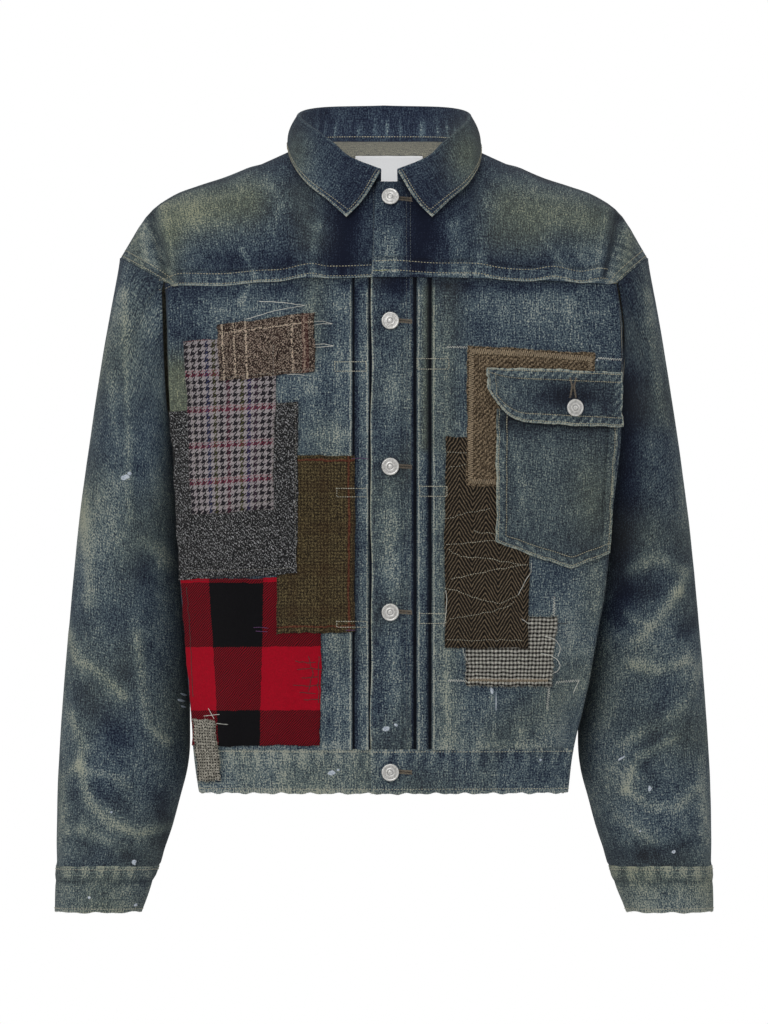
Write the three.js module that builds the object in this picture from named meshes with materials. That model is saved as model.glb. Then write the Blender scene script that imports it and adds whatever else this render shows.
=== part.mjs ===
// A patched denim work jacket, buttoned up and filled out as it is worn, with nobody inside.
// Millimetres. +X is the wearer's left, +Y the back, +Z up. The origin is the middle of the neck,
// level with the place where the shoulders meet the collar.
// Every cloth piece is a thin wall: a grid of points on a surface, moved out and in along its normal.
import * as THREE from "three";

// Cloth and how the pieces meet.
const CLOTH = 1.5;
const DOUBLE_CLOTH = 2.6;
const PATCH = 1.0;
const GAP = 0.35;
const SEAM = 1.1;
const YOKE_STAND = 0.8;
const BAND_STAND = 0.6;

// Heights.
const HEM_Z = -592;
const BAND_TOP_Z = -551;
const YOKE_Z = -100;
const NOTCH_Z = -190;
const UNDERARM_Z = -272;
const SLEEVE_END_Z = -664;
const CUFF_END_Z = -708;

// Half widths of the body, from the hem up: the crisp front edge of each side, and the side seam.
const EDGE_LEFT = track([
  [-592, 176], [-551, 181], [-505, 192], [-450, 202], [-395, 212], [-305, 221], [-240, 228], [-146, 229], [-100, 222],
]);
const EDGE_RIGHT = track([[-592, 177], [-551, 183], [-450, 190], [-389, 195], [-292, 202], [-218, 206], [-100, 208]]);
const SIDE_X = track([[-592, 166], [-500, 171], [-400, 177], [-272, 190], [-190, 212], [-100, 225]]);
const SIDE_Y = 15;

// Depths, forwards of the middle and behind it.
const FRONT_DEPTH = track([[-592, 103], [-450, 112], [-260, 118], [-100, 109]]);
const EDGE_DEPTH = track([[-592, 64], [-400, 70], [-100, 70]]);
const BACK_DEPTH = track([[-592, 100], [-400, 106], [-200, 116], [-100, 112]]);
const FRONT_POWER = 2.6;
const BACK_POWER = 2.7;
const SIDE_POWER = 0.6;

// The shoulder: height of its top line and how far out it is, by the share of the half width.
const NECK_SHARE = 0.42;
const SHOULDER = track([
  [0.42, 88, 29], [0.55, 122, 13], [0.68, 152, 0], [0.8, 181, -9.5], [0.88, 204, -19], [0.945, 228, -38], [1, 252, -78],
]);
const SHOULDER_SEAM_Y = -14;
const EDGE_UP = 0.995;
const FRONT_TURN = (75 * Math.PI) / 180;
const BACK_TURN = (105 * Math.PI) / 180;
const BACK_NECK_TURN = (82 * Math.PI) / 180;

// The neck: its middle moves over to the buttons at the front.
const NECK_X = 88;
const NECK_Y = 77;
const NECK_MIDDLE_Y = -11;
const FRONT_MIDDLE_X = 5;
const NECK_BACK_Z = 37;
const NECK_DROP = 46;

// The closure.
const PLACKET_EDGE_X = -12;
const PLACKET_SEAM_X = 26;
const UNDERLAP_X = 16;
const FLAP_BUTTON = [177.5, -224];
const BUTTON_X = 6;
const BUTTON_Z = [-24, -141, -280, -419, -572];
const OVERLAP = CLOTH + GAP;

// Two knife pleats beside the closure on each front, folded towards the middle.
const PLEAT = 2.2;
const PLEAT_RUN = 14;
const PLEAT_DROP = 1.2;
const FOLDS_LEFT = [32.4, 46.8];
const FOLDS_RIGHT = [16, 31];

// Sleeves: the outer line by height, the under line by height, and the depth by the way down.
const SLEEVE_OUT = track([
  [-664, 316], [-571, 314], [-456, 306], [-341, 295], [-226, 280], [-168, 271], [-110, 259], [-78, 253],
]);
const SLEEVE_IN = track([
  [-664, 217], [-629, 205], [-600, 197], [-571, 189.5], [-545, 187], [-450, 189], [-340, 195], [-272, 198],
]);
const SLEEVE_DEPTH = track([[0, 72], [0.3, 66], [0.6, 59], [1, 43]]);
const SLEEVE_Y = track([[0, 2], [0.3, 13], [0.6, 10], [1, -3]]);
const SLEEVE_POWER = 2.15;
const SLEEVE_TOP_Z = -78;
const SLEEVE_HOLD = 0.3;
const YOKE_TURN = 0.82;
const CUFF_IN_X = 234;
const CUFF_OUT_X = 317;
const CUFF_DEPTH = 38;

// Where the columns of the yokes and the back stand, by the share of the half width: closest at the neck.
const HALF_SHARES = [0, 0.13, 0.24, 0.32, 0.38, NECK_SHARE, 0.56, 0.7, 0.82, 0.92, 1];
const BACK_EDGE = 2.3;
const FRONT_WRAP = 1.06;
const ARMHOLE_STRAIGHT = 0.42;

// The folded collar: its roll line by the angle round from the front, and the place of its outer edge.
const COLLAR_CLOTH = 1.6;
const COLLAR_END = 0.1;
const ROLL_Z = track([[0, 2], [0.49, 18], [0.7, 31], [1.05, 46], [1.57, 59], [2.27, 68], [3.15, 71]]);
const ROLL_X = 82;
const ROLL_Y = 83;
const ROLL_HALF = 2.4;
const FALL = track([
  [0.1, 41, -108, -41], [0.44, 58, -101, -25], [0.79, 77, -88, -9], [1.13, 89, -64, 9], [1.57, 93, -8, 29],
  [2.2, 84, 48, 28], [2.7, 46, 86, 22], [3.15, 0, 96, 20],
]);

// Patches in the order they were sewn on, each over the ones before it. Their corners are x and z.
const PATCHES = [
  { name: "patch_plaid", color: 0xa3141f, corners: [[-194, -388], [-60, -386], [-61, -546], [-182, -547]] },
  { name: "patch_olive", color: 0x4a4533, corners: [[-102, -270], [-28, -270], [-28, -438], [-102, -439]] },
  { name: "patch_speckled", color: 0x3f4142, corners: [[-205, -228], [-82, -218], [-83, -382], [-195, -388]] },
  { name: "patch_hounds", color: 0x77727a, corners: [[-191, -160], [-103, -157], [-106, -320], [-183, -326]] },
  { name: "patch_cream_stripe", color: 0x6e5f4d, corners: [[-159, -145], [-67, -133], [-66, -189], [-156, -198]] },
  { name: "patch_grey_check", color: 0x7d7d7a, corners: [[77, -424], [165, -424], [159, -490], [79, -489]] },
  { name: "patch_herringbone", color: 0x3c352b, corners: [[59, -252], [143, -252], [136, -453], [58, -453]] },
  { name: "patch_brown_twill", color: 0x6d5a45, corners: [[80, -165], [201, -172], [201, -298], [79, -298]] },
];
const HEM_PATCH = {
  name: "patch_basket", color: 0x8b867a, corners: [[-182, -522], [-161, -523], [-155, -580], [-176, -581]],
};

// The chest pocket, its corners as a patch's are, with a point below. The flap has one rounded corner.
const POCKET = [[107, -225], [223, -225], [215, -362], [107, -352]];
const POCKET_POINT = 0.66;
const POCKET_DIP = 19;
const POCKET_CLOTH = 1.3;
const FLAP = [[98, -186], [227, -190], [227, -242], [99, -236]];
const FLAP_ROUND = 24;
const FLAP_ROUND_SHARE = 0.13;
const FLAP_CLOTH = 1.9;

// The neck label: its ends, and how far up the back it lies.
const LABEL = 1;
const LABEL_X = [-28, 38];
const LABEL_RISE = [0.41, 0.53, 0.655, 0.775];
const LABEL_OFF = CLOTH + 4 * GAP;

// A piece laid on the front follows it in cells of this size, and rests clear of all that is under one.
const CELL = 22;
const REST = 0.7;
const HEM_PATCH_LIFT = 0.6;

// Colours.
const DENIM = 0x4c5f6d;
const DENIM_DARK = 0x2c3650;
const BAND_DENIM = 0x59645f;
const STEEL = 0xd6d6d2;
const WHITE = 0xf0f0f0;

// Smooth values through rows of [place, value, ...], held at the ends.
function track(rows) {
  const size = rows[0].length - 1;
  const slope = (i, k) => {
    const a = rows[Math.max(i - 1, 0)];
    const b = rows[Math.min(i + 1, rows.length - 1)];
    return (b[k] - a[k]) / (b[0] - a[0]);
  };
  return (place) => {
    const x = Math.min(Math.max(place, rows[0][0]), rows[rows.length - 1][0]);
    const i = Math.min(Math.max(rows.findIndex((row) => row[0] >= x) - 1, 0), rows.length - 2);
    const span = rows[i + 1][0] - rows[i][0];
    const f = (x - rows[i][0]) / span;
    const values = [];
    for (let k = 1; k <= size; k++) {
      const start = rows[i][k];
      const end = rows[i + 1][k];
      const bend = (1 - f) * (slope(i, k) * span - (end - start)) - f * (slope(i + 1, k) * span - (end - start));
      values.push(start + (end - start) * f + f * (1 - f) * bend);
    }
    return size === 1 ? values[0] : values;
  };
}

function mix(a, b, f) {
  return a + (b - a) * f;
}

function ease(from, to, x) {
  const f = Math.min(Math.max((x - from) / (to - from), 0), 1);
  return f * f * (3 - 2 * f);
}

function edgeX(side, z) {
  return side > 0 ? EDGE_LEFT(z) : EDGE_RIGHT(z);
}

// A point on the body below the shoulders. Along each half ring, 0 is the middle of the front,
// 1 the front edge, 2 the side seam and 3 the middle of the back.
function body(side, z, along) {
  const edge = edgeX(side, z);
  const edgeDepth = EDGE_DEPTH(z);
  if (along <= 1) {
    const bow = 1 - Math.abs(along) ** FRONT_POWER;
    return [side * along * edge, -mix(edgeDepth, FRONT_DEPTH(z), bow), z];
  }
  if (along <= 2) {
    const f = along - 1;
    return [side * mix(edge, SIDE_X(z), f ** SIDE_POWER), mix(-edgeDepth, SIDE_Y, f), z];
  }
  const turn = (Math.min(along, 4) - 2) * Math.PI * 0.5;
  const out = Math.sign(Math.cos(turn)) * Math.abs(Math.cos(turn)) ** (2 / BACK_POWER);
  const back = Math.sin(turn) ** (2 / BACK_POWER);
  return [side * out * SIDE_X(z), mix(SIDE_Y, BACK_DEPTH(z), back), z];
}

// The front of the body at a place seen from the front.
function front(x, z) {
  const side = x < 0 ? -1 : 1;
  return body(side, z, Math.abs(x) / edgeX(side, z));
}

function yokeSeamZ(x) {
  return YOKE_Z + 3 - 6 * (x / 210) ** 2;
}

// The neck line, by the angle round from the middle of the front.
function neck(side, angle) {
  const forward = Math.max(Math.cos(angle), 0);
  const height = NECK_BACK_Z - NECK_DROP * ((1 + Math.cos(angle)) / 2) ** 1.9;
  return [
    side * NECK_X * Math.sin(angle) + FRONT_MIDDLE_X * forward,
    NECK_MIDDLE_Y - NECK_Y * Math.cos(angle),
    height,
  ];
}

// The top edge of the yoke and of the back, by the share of the half width: neck, then shoulder seam.
function topEdge(side, share, isBack) {
  if (share < NECK_SHARE) {
    const way = Math.abs(share) / NECK_SHARE;
    const angle = Math.sign(share) * mix(Math.asin(way), way * Math.PI * 0.5, way);
    return neck(side, isBack ? Math.PI - angle : angle);
  }
  const [x, peak] = SHOULDER(share);
  const y = mix(NECK_MIDDLE_Y, SHOULDER_SEAM_Y, ease(NECK_SHARE, 0.6, share));
  return [side * x, y, mix(YOKE_Z, peak, Math.sin(BACK_TURN))];
}

// From a bottom point to a top point, upright at first and then turning over the shoulder.
function overShoulder(bottom, top, up, turn) {
  const rise = Math.sin(up * turn) / Math.sin(turn);
  const lean = (1 - Math.cos(up * turn)) / (1 - Math.cos(turn));
  return [mix(bottom[0], top[0], rise), mix(bottom[1], top[1], lean), mix(bottom[2], top[2], rise)];
}

function yokePoint(side, share, up) {
  const seamZ = yokeSeamZ(share * edgeX(side, YOKE_Z));
  return overShoulder(body(side, seamZ, share), topEdge(side, share, false), up, FRONT_TURN);
}

function upperBackPoint(side, share, up) {
  const bottom = body(side, YOKE_Z, 3 - share * (3 - BACK_EDGE));
  const turn = mix(BACK_NECK_TURN, BACK_TURN, ease(NECK_SHARE, 0.6, share));
  return overShoulder(bottom, topEdge(side, share, true), up, turn);
}

// The armhole below the yoke: straight down the edge, then a quarter turn to the underarm.
function armholeTurn(z) {
  return Math.asin(Math.min(Math.max((NOTCH_Z - z) / (NOTCH_Z - UNDERARM_Z), 0), 1));
}

function frontEnd(z) {
  return mix(2, FRONT_WRAP, Math.cos(armholeTurn(z)));
}

function backEnd(z) {
  return mix(2, BACK_EDGE, Math.cos(armholeTurn(z)));
}

// The whole armhole, by the angle from the shoulder end: forwards is positive, the underarm is a half turn.
function armhole(side, angle) {
  const isBack = angle < 0;
  const way = Math.abs(angle);
  if (way <= YOKE_TURN) {
    const up = 1 - way / YOKE_TURN;
    return isBack ? upperBackPoint(side, 1, up) : yokePoint(side, 1, up);
  }
  const down = (way - YOKE_TURN) / (Math.PI - YOKE_TURN);
  const turn = (Math.max(down - ARMHOLE_STRAIGHT, 0) / (1 - ARMHOLE_STRAIGHT)) * Math.PI * 0.5;
  const z = down < ARMHOLE_STRAIGHT
    ? mix(isBack ? YOKE_Z : yokeSeamZ(edgeX(side, YOKE_Z)), NOTCH_Z, down / ARMHOLE_STRAIGHT)
    : mix(NOTCH_Z, UNDERARM_Z, Math.sin(turn));
  return body(side, z, isBack ? backEnd(z) : frontEnd(z));
}

// A sleeve point: rings fan out from the armhole to the level cuff.
function sleevePoint(side, angle, down) {
  const outZ = mix(SLEEVE_TOP_Z, SLEEVE_END_Z, down ** 0.9);
  const inZ = mix(UNDERARM_Z, SLEEVE_END_Z, down ** 1.25);
  const outX = SLEEVE_OUT(outZ);
  const inX = SLEEVE_IN(inZ);
  const wide = Math.sign(Math.cos(angle)) * Math.abs(Math.cos(angle)) ** (2 / SLEEVE_POWER);
  const deep = Math.sign(Math.sin(angle)) * Math.abs(Math.sin(angle)) ** (2 / SLEEVE_POWER);
  const across = (1 + wide) / 2;
  const ring = [side * mix(inX, outX, across), SLEEVE_Y(down) - deep * SLEEVE_DEPTH(down), mix(inZ, outZ, across)];
  const hold = (1 - Math.min(down / SLEEVE_HOLD, 1)) ** 2;
  if (hold === 0) return ring;
  const start = armhole(side, angle);
  const isBelowYoke = Math.abs(angle) > YOKE_TURN + 0.05;
  const clear = isBelowYoke ? [side * 3, angle > 0 ? 2 : 0, 0] : [side * 1.3, 0, -SEAM];
  return ring.map((value, k) => mix(value, start[k] + clear[k], hold));
}

function cuffPoint(side, angle, down) {
  const z = mix(SLEEVE_END_Z - GAP, CUFF_END_Z, down);
  const inX = mix(SLEEVE_IN(SLEEVE_END_Z), CUFF_IN_X, down);
  const outX = mix(SLEEVE_OUT(SLEEVE_END_Z), CUFF_OUT_X, down);
  const depth = mix(SLEEVE_DEPTH(1), CUFF_DEPTH, down);
  const across = (1 + Math.cos(angle)) / 2;
  return [side * mix(inX, outX, across), SLEEVE_Y(1) - Math.sin(angle) * depth, z];
}

// Height of the pleats over a front, by the distance out from the middle.
function pleat(folds, out) {
  let height = 0;
  for (const fold of folds) {
    if (out >= fold) height = PLEAT * Math.max(1 - (out - fold) / PLEAT_RUN, 0);
    else if (out > fold - PLEAT_DROP) height = mix(PLEAT, height, (fold - out) / PLEAT_DROP);
  }
  return height;
}

// The wearer's left front lies over the right one as far as the closing edge.
function closureLift(x) {
  return OVERLAP * (1 - ease(UNDERLAP_X + 1, UNDERLAP_X + 8, x));
}

// A wall on a surface: point(u, v) gives the surface, outer and inner how far the wall's faces stand off it.
// Handed is 1 where u, then v, turn about the way out by the right-hand rule, and -1 where they don't.
function wall(point, us, vs, outer, inner, handed = 1, closed = false) {
  const step = 1e-3;
  const spanU = [us[0], us[us.length - 1]];
  const spanV = [vs[0], vs[vs.length - 1]].sort((a, b) => a - b);
  const clamp = (value, span) => Math.min(Math.max(value, span[0]), span[1]);
  const across = (u, v) => {
    const a = closed ? u - step : clamp(u - step, spanU);
    const b = closed ? u + step : clamp(u + step, spanU);
    return new THREE.Vector3(...point(b, v)).sub(new THREE.Vector3(...point(a, v)));
  };
  const upwards = (u, v) => {
    const size = (spanV[1] - spanV[0]) * step;
    const below = new THREE.Vector3(...point(u, clamp(v - size, spanV)));
    return new THREE.Vector3(...point(u, clamp(v + size, spanV))).sub(below);
  };
  const columns = closed ? us.slice(0, -1) : us;
  const positions = [];
  for (const offset of [outer, inner]) {
    for (const v of vs) {
      for (const u of columns) {
        const normal = across(u, v).cross(upwards(u, v)).normalize().multiplyScalar(handed);
        const place = new THREE.Vector3(...point(u, v)).addScaledVector(normal, offset(u, v));
        positions.push(...place.toArray());
      }
    }
  }
  const wide = columns.length;
  const layer = wide * vs.length;
  const at = (i, j, k) => k * layer + j * wide + (i % wide);
  const faces = [];
  const quad = (a, b, c, d) => faces.push(a, b, c, a, c, d);
  const spans = closed ? wide : wide - 1;
  for (let i = 0; i < spans; i++) {
    for (let j = 0; j < vs.length - 1; j++) {
      quad(at(i, j, 0), at(i + 1, j, 0), at(i + 1, j + 1, 0), at(i, j + 1, 0));
      quad(at(i, j, 1), at(i, j + 1, 1), at(i + 1, j + 1, 1), at(i + 1, j, 1));
    }
    const last = vs.length - 1;
    quad(at(i, 0, 0), at(i, 0, 1), at(i + 1, 0, 1), at(i + 1, 0, 0));
    quad(at(i, last, 0), at(i + 1, last, 0), at(i + 1, last, 1), at(i, last, 1));
  }
  for (let j = 0; !closed && j < vs.length - 1; j++) {
    quad(at(0, j, 0), at(0, j + 1, 0), at(0, j + 1, 1), at(0, j, 1));
    quad(at(spans, j, 0), at(spans, j, 1), at(spans, j + 1, 1), at(spans, j + 1, 0));
  }
  return facingOut(new THREE.BufferGeometry()
    .setAttribute("position", new THREE.Float32BufferAttribute(positions, 3))
    .setIndex(faces));
}

// Turns the faces round where the body would otherwise be inside out.
function facingOut(geometry) {
  const place = geometry.getAttribute("position");
  const index = geometry.index.array;
  const corner = (i) => new THREE.Vector3().fromBufferAttribute(place, index[i]);
  let volume = 0;
  for (let i = 0; i < index.length; i += 3) volume += corner(i).dot(corner(i + 1).cross(corner(i + 2)));
  if (volume < 0) index.reverse();
  geometry.computeVertexNormals();
  return geometry;
}

function steps(from, to, count) {
  return Array.from({ length: count + 1 }, (_, i) => mix(from, to, i / count));
}

const jacket = new THREE.Group();

function add(name, geometry, color, metalness = 0) {
  const roughness = metalness ? 0.35 : 0.95;
  const mesh = new THREE.Mesh(geometry, new THREE.MeshStandardMaterial({ color, roughness, metalness }));
  mesh.name = name;
  jacket.add(mesh);
  return mesh;
}

const flat = (offset) => () => offset;

// Fronts, from the yoke seam to the waistband. Along u, 0 to 1 is the pleated strip, 1 to 2 the chest
// and 2 to 3 the wrap round the side, or to the armhole.
function frontPanel(side) {
  const folds = side > 0 ? FOLDS_LEFT : FOLDS_RIGHT;
  const startOut = side > 0 ? PLACKET_SEAM_X + GAP : -UNDERLAP_X;
  const knots = [startOut];
  for (const fold of folds) knots.push(fold - PLEAT_DROP, fold, fold + PLEAT_RUN * 0.72);
  const outAt = (u) => {
    const place = Math.min(u, 1) * (knots.length - 1);
    const i = Math.min(Math.floor(place), knots.length - 2);
    return mix(knots[i], knots[i + 1], place - i);
  };
  const alongAt = (u, z) => {
    const edge = edgeX(side, z);
    if (u <= 1) return outAt(u) / edge;
    if (u <= 2) return mix(outAt(1) / edge, 1, u - 1);
    return mix(1, frontEnd(z), u - 2);
  };
  const point = (u, z) => {
    const along = alongAt(u, z);
    const seamDrop = yokeSeamZ(Math.min(along, 1) * edgeX(side, z)) - YOKE_Z;
    const placeZ = z + seamDrop * ease(YOKE_Z - 80, YOKE_Z, z);
    if (along < 0) return [side * along * edgeX(side, z), -FRONT_DEPTH(placeZ), placeZ];
    const [x, y] = body(side, placeZ, along);
    return [x, y, placeZ];
  };
  const rows = [
    BAND_TOP_Z + GAP, -490, -430, -375, -325, UNDERARM_Z, -266, -252, -225, NOTCH_Z, -145, YOKE_Z - SEAM,
  ];
  const us = [...steps(0, 1, knots.length - 1), ...steps(1, 2, 6).slice(1), ...steps(2, 3, 4).slice(1)];
  const outer = (u) => (u <= 1 ? pleat(folds, outAt(u)) : 0);
  return wall(point, us, rows, outer, flat(-CLOTH), side);
}

// Front yokes. The wearer's left one runs on over the right as far as the closing edge.
function frontYoke(side) {
  const edge = edgeX(side, YOKE_Z);
  const start = side > 0 ? PLACKET_EDGE_X / edge : -UNDERLAP_X / edge;
  const shares = [start, 0.075, 0.115, ...HALF_SHARES.slice(2)];
  const point = (share, up) => (share >= 0 ? yokePoint(side, share, up) : yokePoint(-side, -share, up));
  const raise = (share) => (side > 0 ? closureLift(share * edge) : 0);
  const outer = (share) => YOKE_STAND + raise(share);
  return wall(point, shares, [0, 0.18, 0.36, 0.54, 0.7, 0.85, EDGE_UP], outer, (share) => outer(share) - CLOTH, side);
}

// The back, in one piece from the waistband over the shoulders to the neck.
function backPanel() {
  const across = [...HALF_SHARES.slice(1).map((share) => -share).reverse(), ...HALF_SHARES];
  const point = (share, level) => {
    const side = share < 0 ? -1 : 1;
    if (level > 0) return upperBackPoint(side, Math.abs(share), level);
    const z = mix(YOKE_Z, BAND_TOP_Z + GAP, -level);
    return body(side, z, mix(3, backEnd(z), Math.abs(share)));
  };
  const underarm = (YOKE_Z - UNDERARM_Z) / (YOKE_Z - BAND_TOP_Z - GAP);
  const low = [1, 0.84, 0.68, 0.52, underarm, underarm - 0.025, underarm - 0.08, 0.2, 0.1];
  const levels = [...low.map((f) => -f), 0, 0.22, 0.42, 0.6, 0.76, 0.88, EDGE_UP];
  return wall(point, across, levels, flat(0), flat(-CLOTH), -1);
}

// The closing band, from the yoke to the waistband, over the right front.
function placket() {
  const xs = [PLACKET_EDGE_X, 2, UNDERLAP_X + 1, UNDERLAP_X + 5, PLACKET_SEAM_X];
  const rows = steps(BAND_TOP_Z + GAP, YOKE_Z - SEAM, 11);
  const point = (x, z) => front(x, z + (yokeSeamZ(x) - YOKE_Z) * ease(YOKE_Z - 80, YOKE_Z, z));
  return wall(point, xs, rows, closureLift, (x) => closureLift(x) - CLOTH);
}

// The waistband runs from under the closing edge, round the back, to the edge itself.
function waistband() {
  const start = -UNDERLAP_X / edgeX(-1, BAND_TOP_Z);
  const end = PLACKET_EDGE_X / edgeX(1, BAND_TOP_Z);
  const right = [start, 0.16, 0.4, 0.65, 0.85, 1, 1.25, 1.6, 2, 2.2, 2.4, 2.6, 2.8, 3];
  const left = [end, 0, 0.12, 0.16, 0.3, 0.5, 0.7, 0.86, 1, 1.25, 1.6, 2, 2.2, 2.4, 2.6, 2.8];
  const us = [...right, ...left.map((along) => 6 - along).reverse()];
  const point = (u, z) => {
    const side = u <= 3 ? -1 : 1;
    const along = side < 0 ? u : 6 - u;
    if (along >= 0) return body(side, z, along);
    return [side * along * edgeX(side, z), -FRONT_DEPTH(z), z];
  };
  const lift = (u) => (u > 3 ? (DOUBLE_CLOTH + GAP) * (1 - ease(0.13, 0.2, 6 - u)) : 0);
  const rows = [HEM_Z, (HEM_Z + BAND_TOP_Z) / 2, BAND_TOP_Z];
  const outer = (u) => BAND_STAND + lift(u);
  return wall(point, us, rows, outer, (u) => outer(u) - DOUBLE_CLOTH, -1);
}

// A collar point: the stand rises from the neck, turns at the roll line and falls outside.
function collarPoint(around, over) {
  const side = around < 0 ? -1 : 1;
  const angle = Math.PI - Math.abs(around) * (Math.PI - COLLAR_END);
  const forward = Math.max(Math.cos(angle), 0);
  const out = [side * Math.sin(angle), -Math.cos(angle)];
  const foot = neck(side, angle);
  const roll = [
    side * ROLL_X * Math.sin(angle) + FRONT_MIDDLE_X * forward,
    NECK_MIDDLE_Y - ROLL_Y * Math.cos(angle),
    ROLL_Z(angle),
  ];
  const [fallX, fallY, fallZ] = FALL(angle);
  const fall = [side * fallX + FRONT_MIDDLE_X * forward, fallY, fallZ];
  const inside = [roll[0] - out[0] * ROLL_HALF, roll[1] - out[1] * ROLL_HALF, roll[2] - 2];
  const outside = [roll[0] + out[0] * ROLL_HALF, roll[1] + out[1] * ROLL_HALF, roll[2] - 2];
  if (over < 1) {
    const base = [foot[0] - out[0], foot[1] - out[1], foot[2] + 2 * SEAM];
    return base.map((value, k) => mix(value, inside[k], over));
  }
  if (over < 2) {
    const turn = (over - 1) * Math.PI;
    const share = (1 - Math.cos(turn)) / 2;
    const place = inside.map((value, k) => mix(value, outside[k], share));
    place[2] += Math.sin(turn) * 2;
    return place;
  }
  const place = outside.map((value, k) => mix(value, fall[k], over - 2));
  const bulge = 3 * Math.sin((over - 2) * Math.PI);
  return [place[0] + out[0] * bulge, place[1] + out[1] * bulge, place[2]];
}

// A flat piece of cloth laid on the front: corners run from the upper left round with the clock.
function cornersPlace(corners, u, v, dip = 0) {
  const [a, b, c, d] = corners;
  const x = mix(mix(d[0], c[0], u), mix(a[0], b[0], u), v);
  const z = mix(mix(d[1], c[1], u), mix(a[1], b[1], u), v);
  return front(x, z - dip);
}

// The tops of the pieces laid on so far: each gives its height over a place, or 0 beside the piece.
const laidTops = [];

function heightAt(x, z) {
  return Math.max(0, ...laidTops.map((top) => top(x, z)));
}

// How high the next piece lies at one of its corners: clear of everything within one of its cells.
function restAt(x, z) {
  const folds = x < 0 ? FOLDS_RIGHT : FOLDS_LEFT;
  const out = Math.abs(x);
  const overPleat = folds.some((fold) => out > fold - CELL && out < fold + PLEAT_RUN + CELL) ? PLEAT : 0;
  let height = Math.max(overPleat, heightAt(x, z));
  for (const reach of [CELL * 0.35, CELL * 0.7, CELL]) {
    for (let k = 0; k < 12; k++) {
      const angle = (k * Math.PI) / 6;
      height = Math.max(height, heightAt(x + reach * Math.cos(angle), z + reach * Math.sin(angle)));
    }
  }
  return height + REST;
}

// Where a place lies on a four-cornered piece: shares of the way across and up.
function shareOf(corners, x, z) {
  const [a, b, c, d] = corners;
  let u = 0.5;
  let v = 0.5;
  for (let i = 0; i < 6; i++) {
    const low = mix(d[1], c[1], u);
    v = (z - low) / (mix(a[1], b[1], u) - low);
    const left = mix(d[0], a[0], v);
    u = (x - left) / (mix(c[0], b[0], v) - left);
  }
  return [u, v];
}

function laidOn(corners, place, us, vs, thickness, extra = 0) {
  const lifts = us.map((u) => vs.map((v) => {
    const [x, , z] = place(u, v);
    return restAt(x, z) + extra;
  }));
  const lift = (u, v) => lifts[us.indexOf(u)][vs.indexOf(v)];
  laidTops.push((x, z) => {
    const [u, v] = shareOf(corners, x, z);
    if (Math.min(u, v) < -0.02 || Math.max(u, v) > 1.02) return 0;
    const i = Math.min(Math.max(us.findIndex((edge) => edge >= u) - 1, 0), us.length - 2);
    const j = Math.min(Math.max(vs.findIndex((edge) => edge >= v) - 1, 0), vs.length - 2);
    return thickness + Math.max(lifts[i][j], lifts[i + 1][j], lifts[i][j + 1], lifts[i + 1][j + 1]);
  });
  return wall(place, us, vs, (u, v) => lift(u, v) + thickness, lift);
}

function patchOn(corners, extra = 0) {
  const spans = (a, b) => Math.max(2, Math.ceil(Math.hypot(a[0] - b[0], a[1] - b[1]) / (CELL * 0.9)));
  const us = steps(0, 1, spans(corners[0], corners[1]));
  const vs = steps(0, 1, spans(corners[1], corners[2]));
  return laidOn(corners, (u, v) => cornersPlace(corners, u, v), us, vs, PATCH, extra);
}

// The chest pocket comes to a point below, and its flap has a rounded corner.
function pocketBody() {
  const surface = (u, v) => {
    const dip = POCKET_DIP * (1 - v) * (u < POCKET_POINT ? u / POCKET_POINT : (1 - u) / (1 - POCKET_POINT));
    return cornersPlace(POCKET, u, v, dip);
  };
  return laidOn(POCKET, surface, steps(0, 1, 6), steps(0, 1, 6), POCKET_CLOTH);
}

function pocketFlap() {
  const rise = (u, v) => FLAP_ROUND * (1 - v) * Math.max(1 - u / FLAP_ROUND_SHARE, 0) ** 2;
  const surface = (u, v) => cornersPlace(FLAP, u, v, -rise(u, v));
  const us = [0, 0.04, 0.09, 0.14, ...steps(0.3, 1, 4)];
  return laidOn(FLAP, surface, us, steps(0, 1, 3), FLAP_CLOTH, REST);
}

// The plain neck label, on the inside of the back.
function neckLabel() {
  const point = (x, up) => {
    let share = [0, 1];
    for (let i = 0; i < 20; i++) {
      const middle = (share[0] + share[1]) / 2;
      const isOut = upperBackPoint(1, middle, up)[0] > Math.abs(x);
      share = isOut ? [share[0], middle] : [middle, share[1]];
    }
    return upperBackPoint(x < 0 ? -1 : 1, share[0], up);
  };
  return wall(point, steps(...LABEL_X, 6), LABEL_RISE, flat(-LABEL_OFF), flat(-LABEL_OFF - LABEL), -1);
}

// A shank button of the size of a coin, its axis along the cloth's way out.
// The yoke leans back towards the neck, so its button stands on the yoke's own slope.
function yokeFront(x, z) {
  let share = x / edgeX(1, YOKE_Z);
  let spot = null;
  for (let turn = 0; turn < 5; turn++) {
    let [low, high] = [0, 1];
    for (let halving = 0; halving < 40; halving++) {
      const middle = (low + high) / 2;
      if (yokePoint(1, share, middle)[2] < z) low = middle;
      else high = middle;
    }
    spot = yokePoint(1, share, low);
    share += (x - spot[0]) / edgeX(1, YOKE_Z);
  }
  return spot;
}

function shankButton(name, x, z, stand, face = front) {
  const profile = [[0, 0], [3.2, 0], [3.2, 1.4], [8.2, 1.8], [8.2, 2.9], [6.8, 3.7], [0, 4]];
  const points = profile.map(([radius, height]) => new THREE.Vector2(radius, height));
  const mesh = add(name, new THREE.LatheGeometry(points, 12), STEEL, 0.9);
  const spot = new THREE.Vector3(...face(x, z));
  const right = new THREE.Vector3(...face(x + 1, z)).sub(spot);
  const up = new THREE.Vector3(...face(x, z + 1)).sub(spot);
  const normal = right.cross(up).normalize();
  mesh.position.copy(spot.addScaledVector(normal, stand));
  mesh.quaternion.setFromUnitVectors(new THREE.Vector3(0, 1, 0), normal);
}

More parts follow.
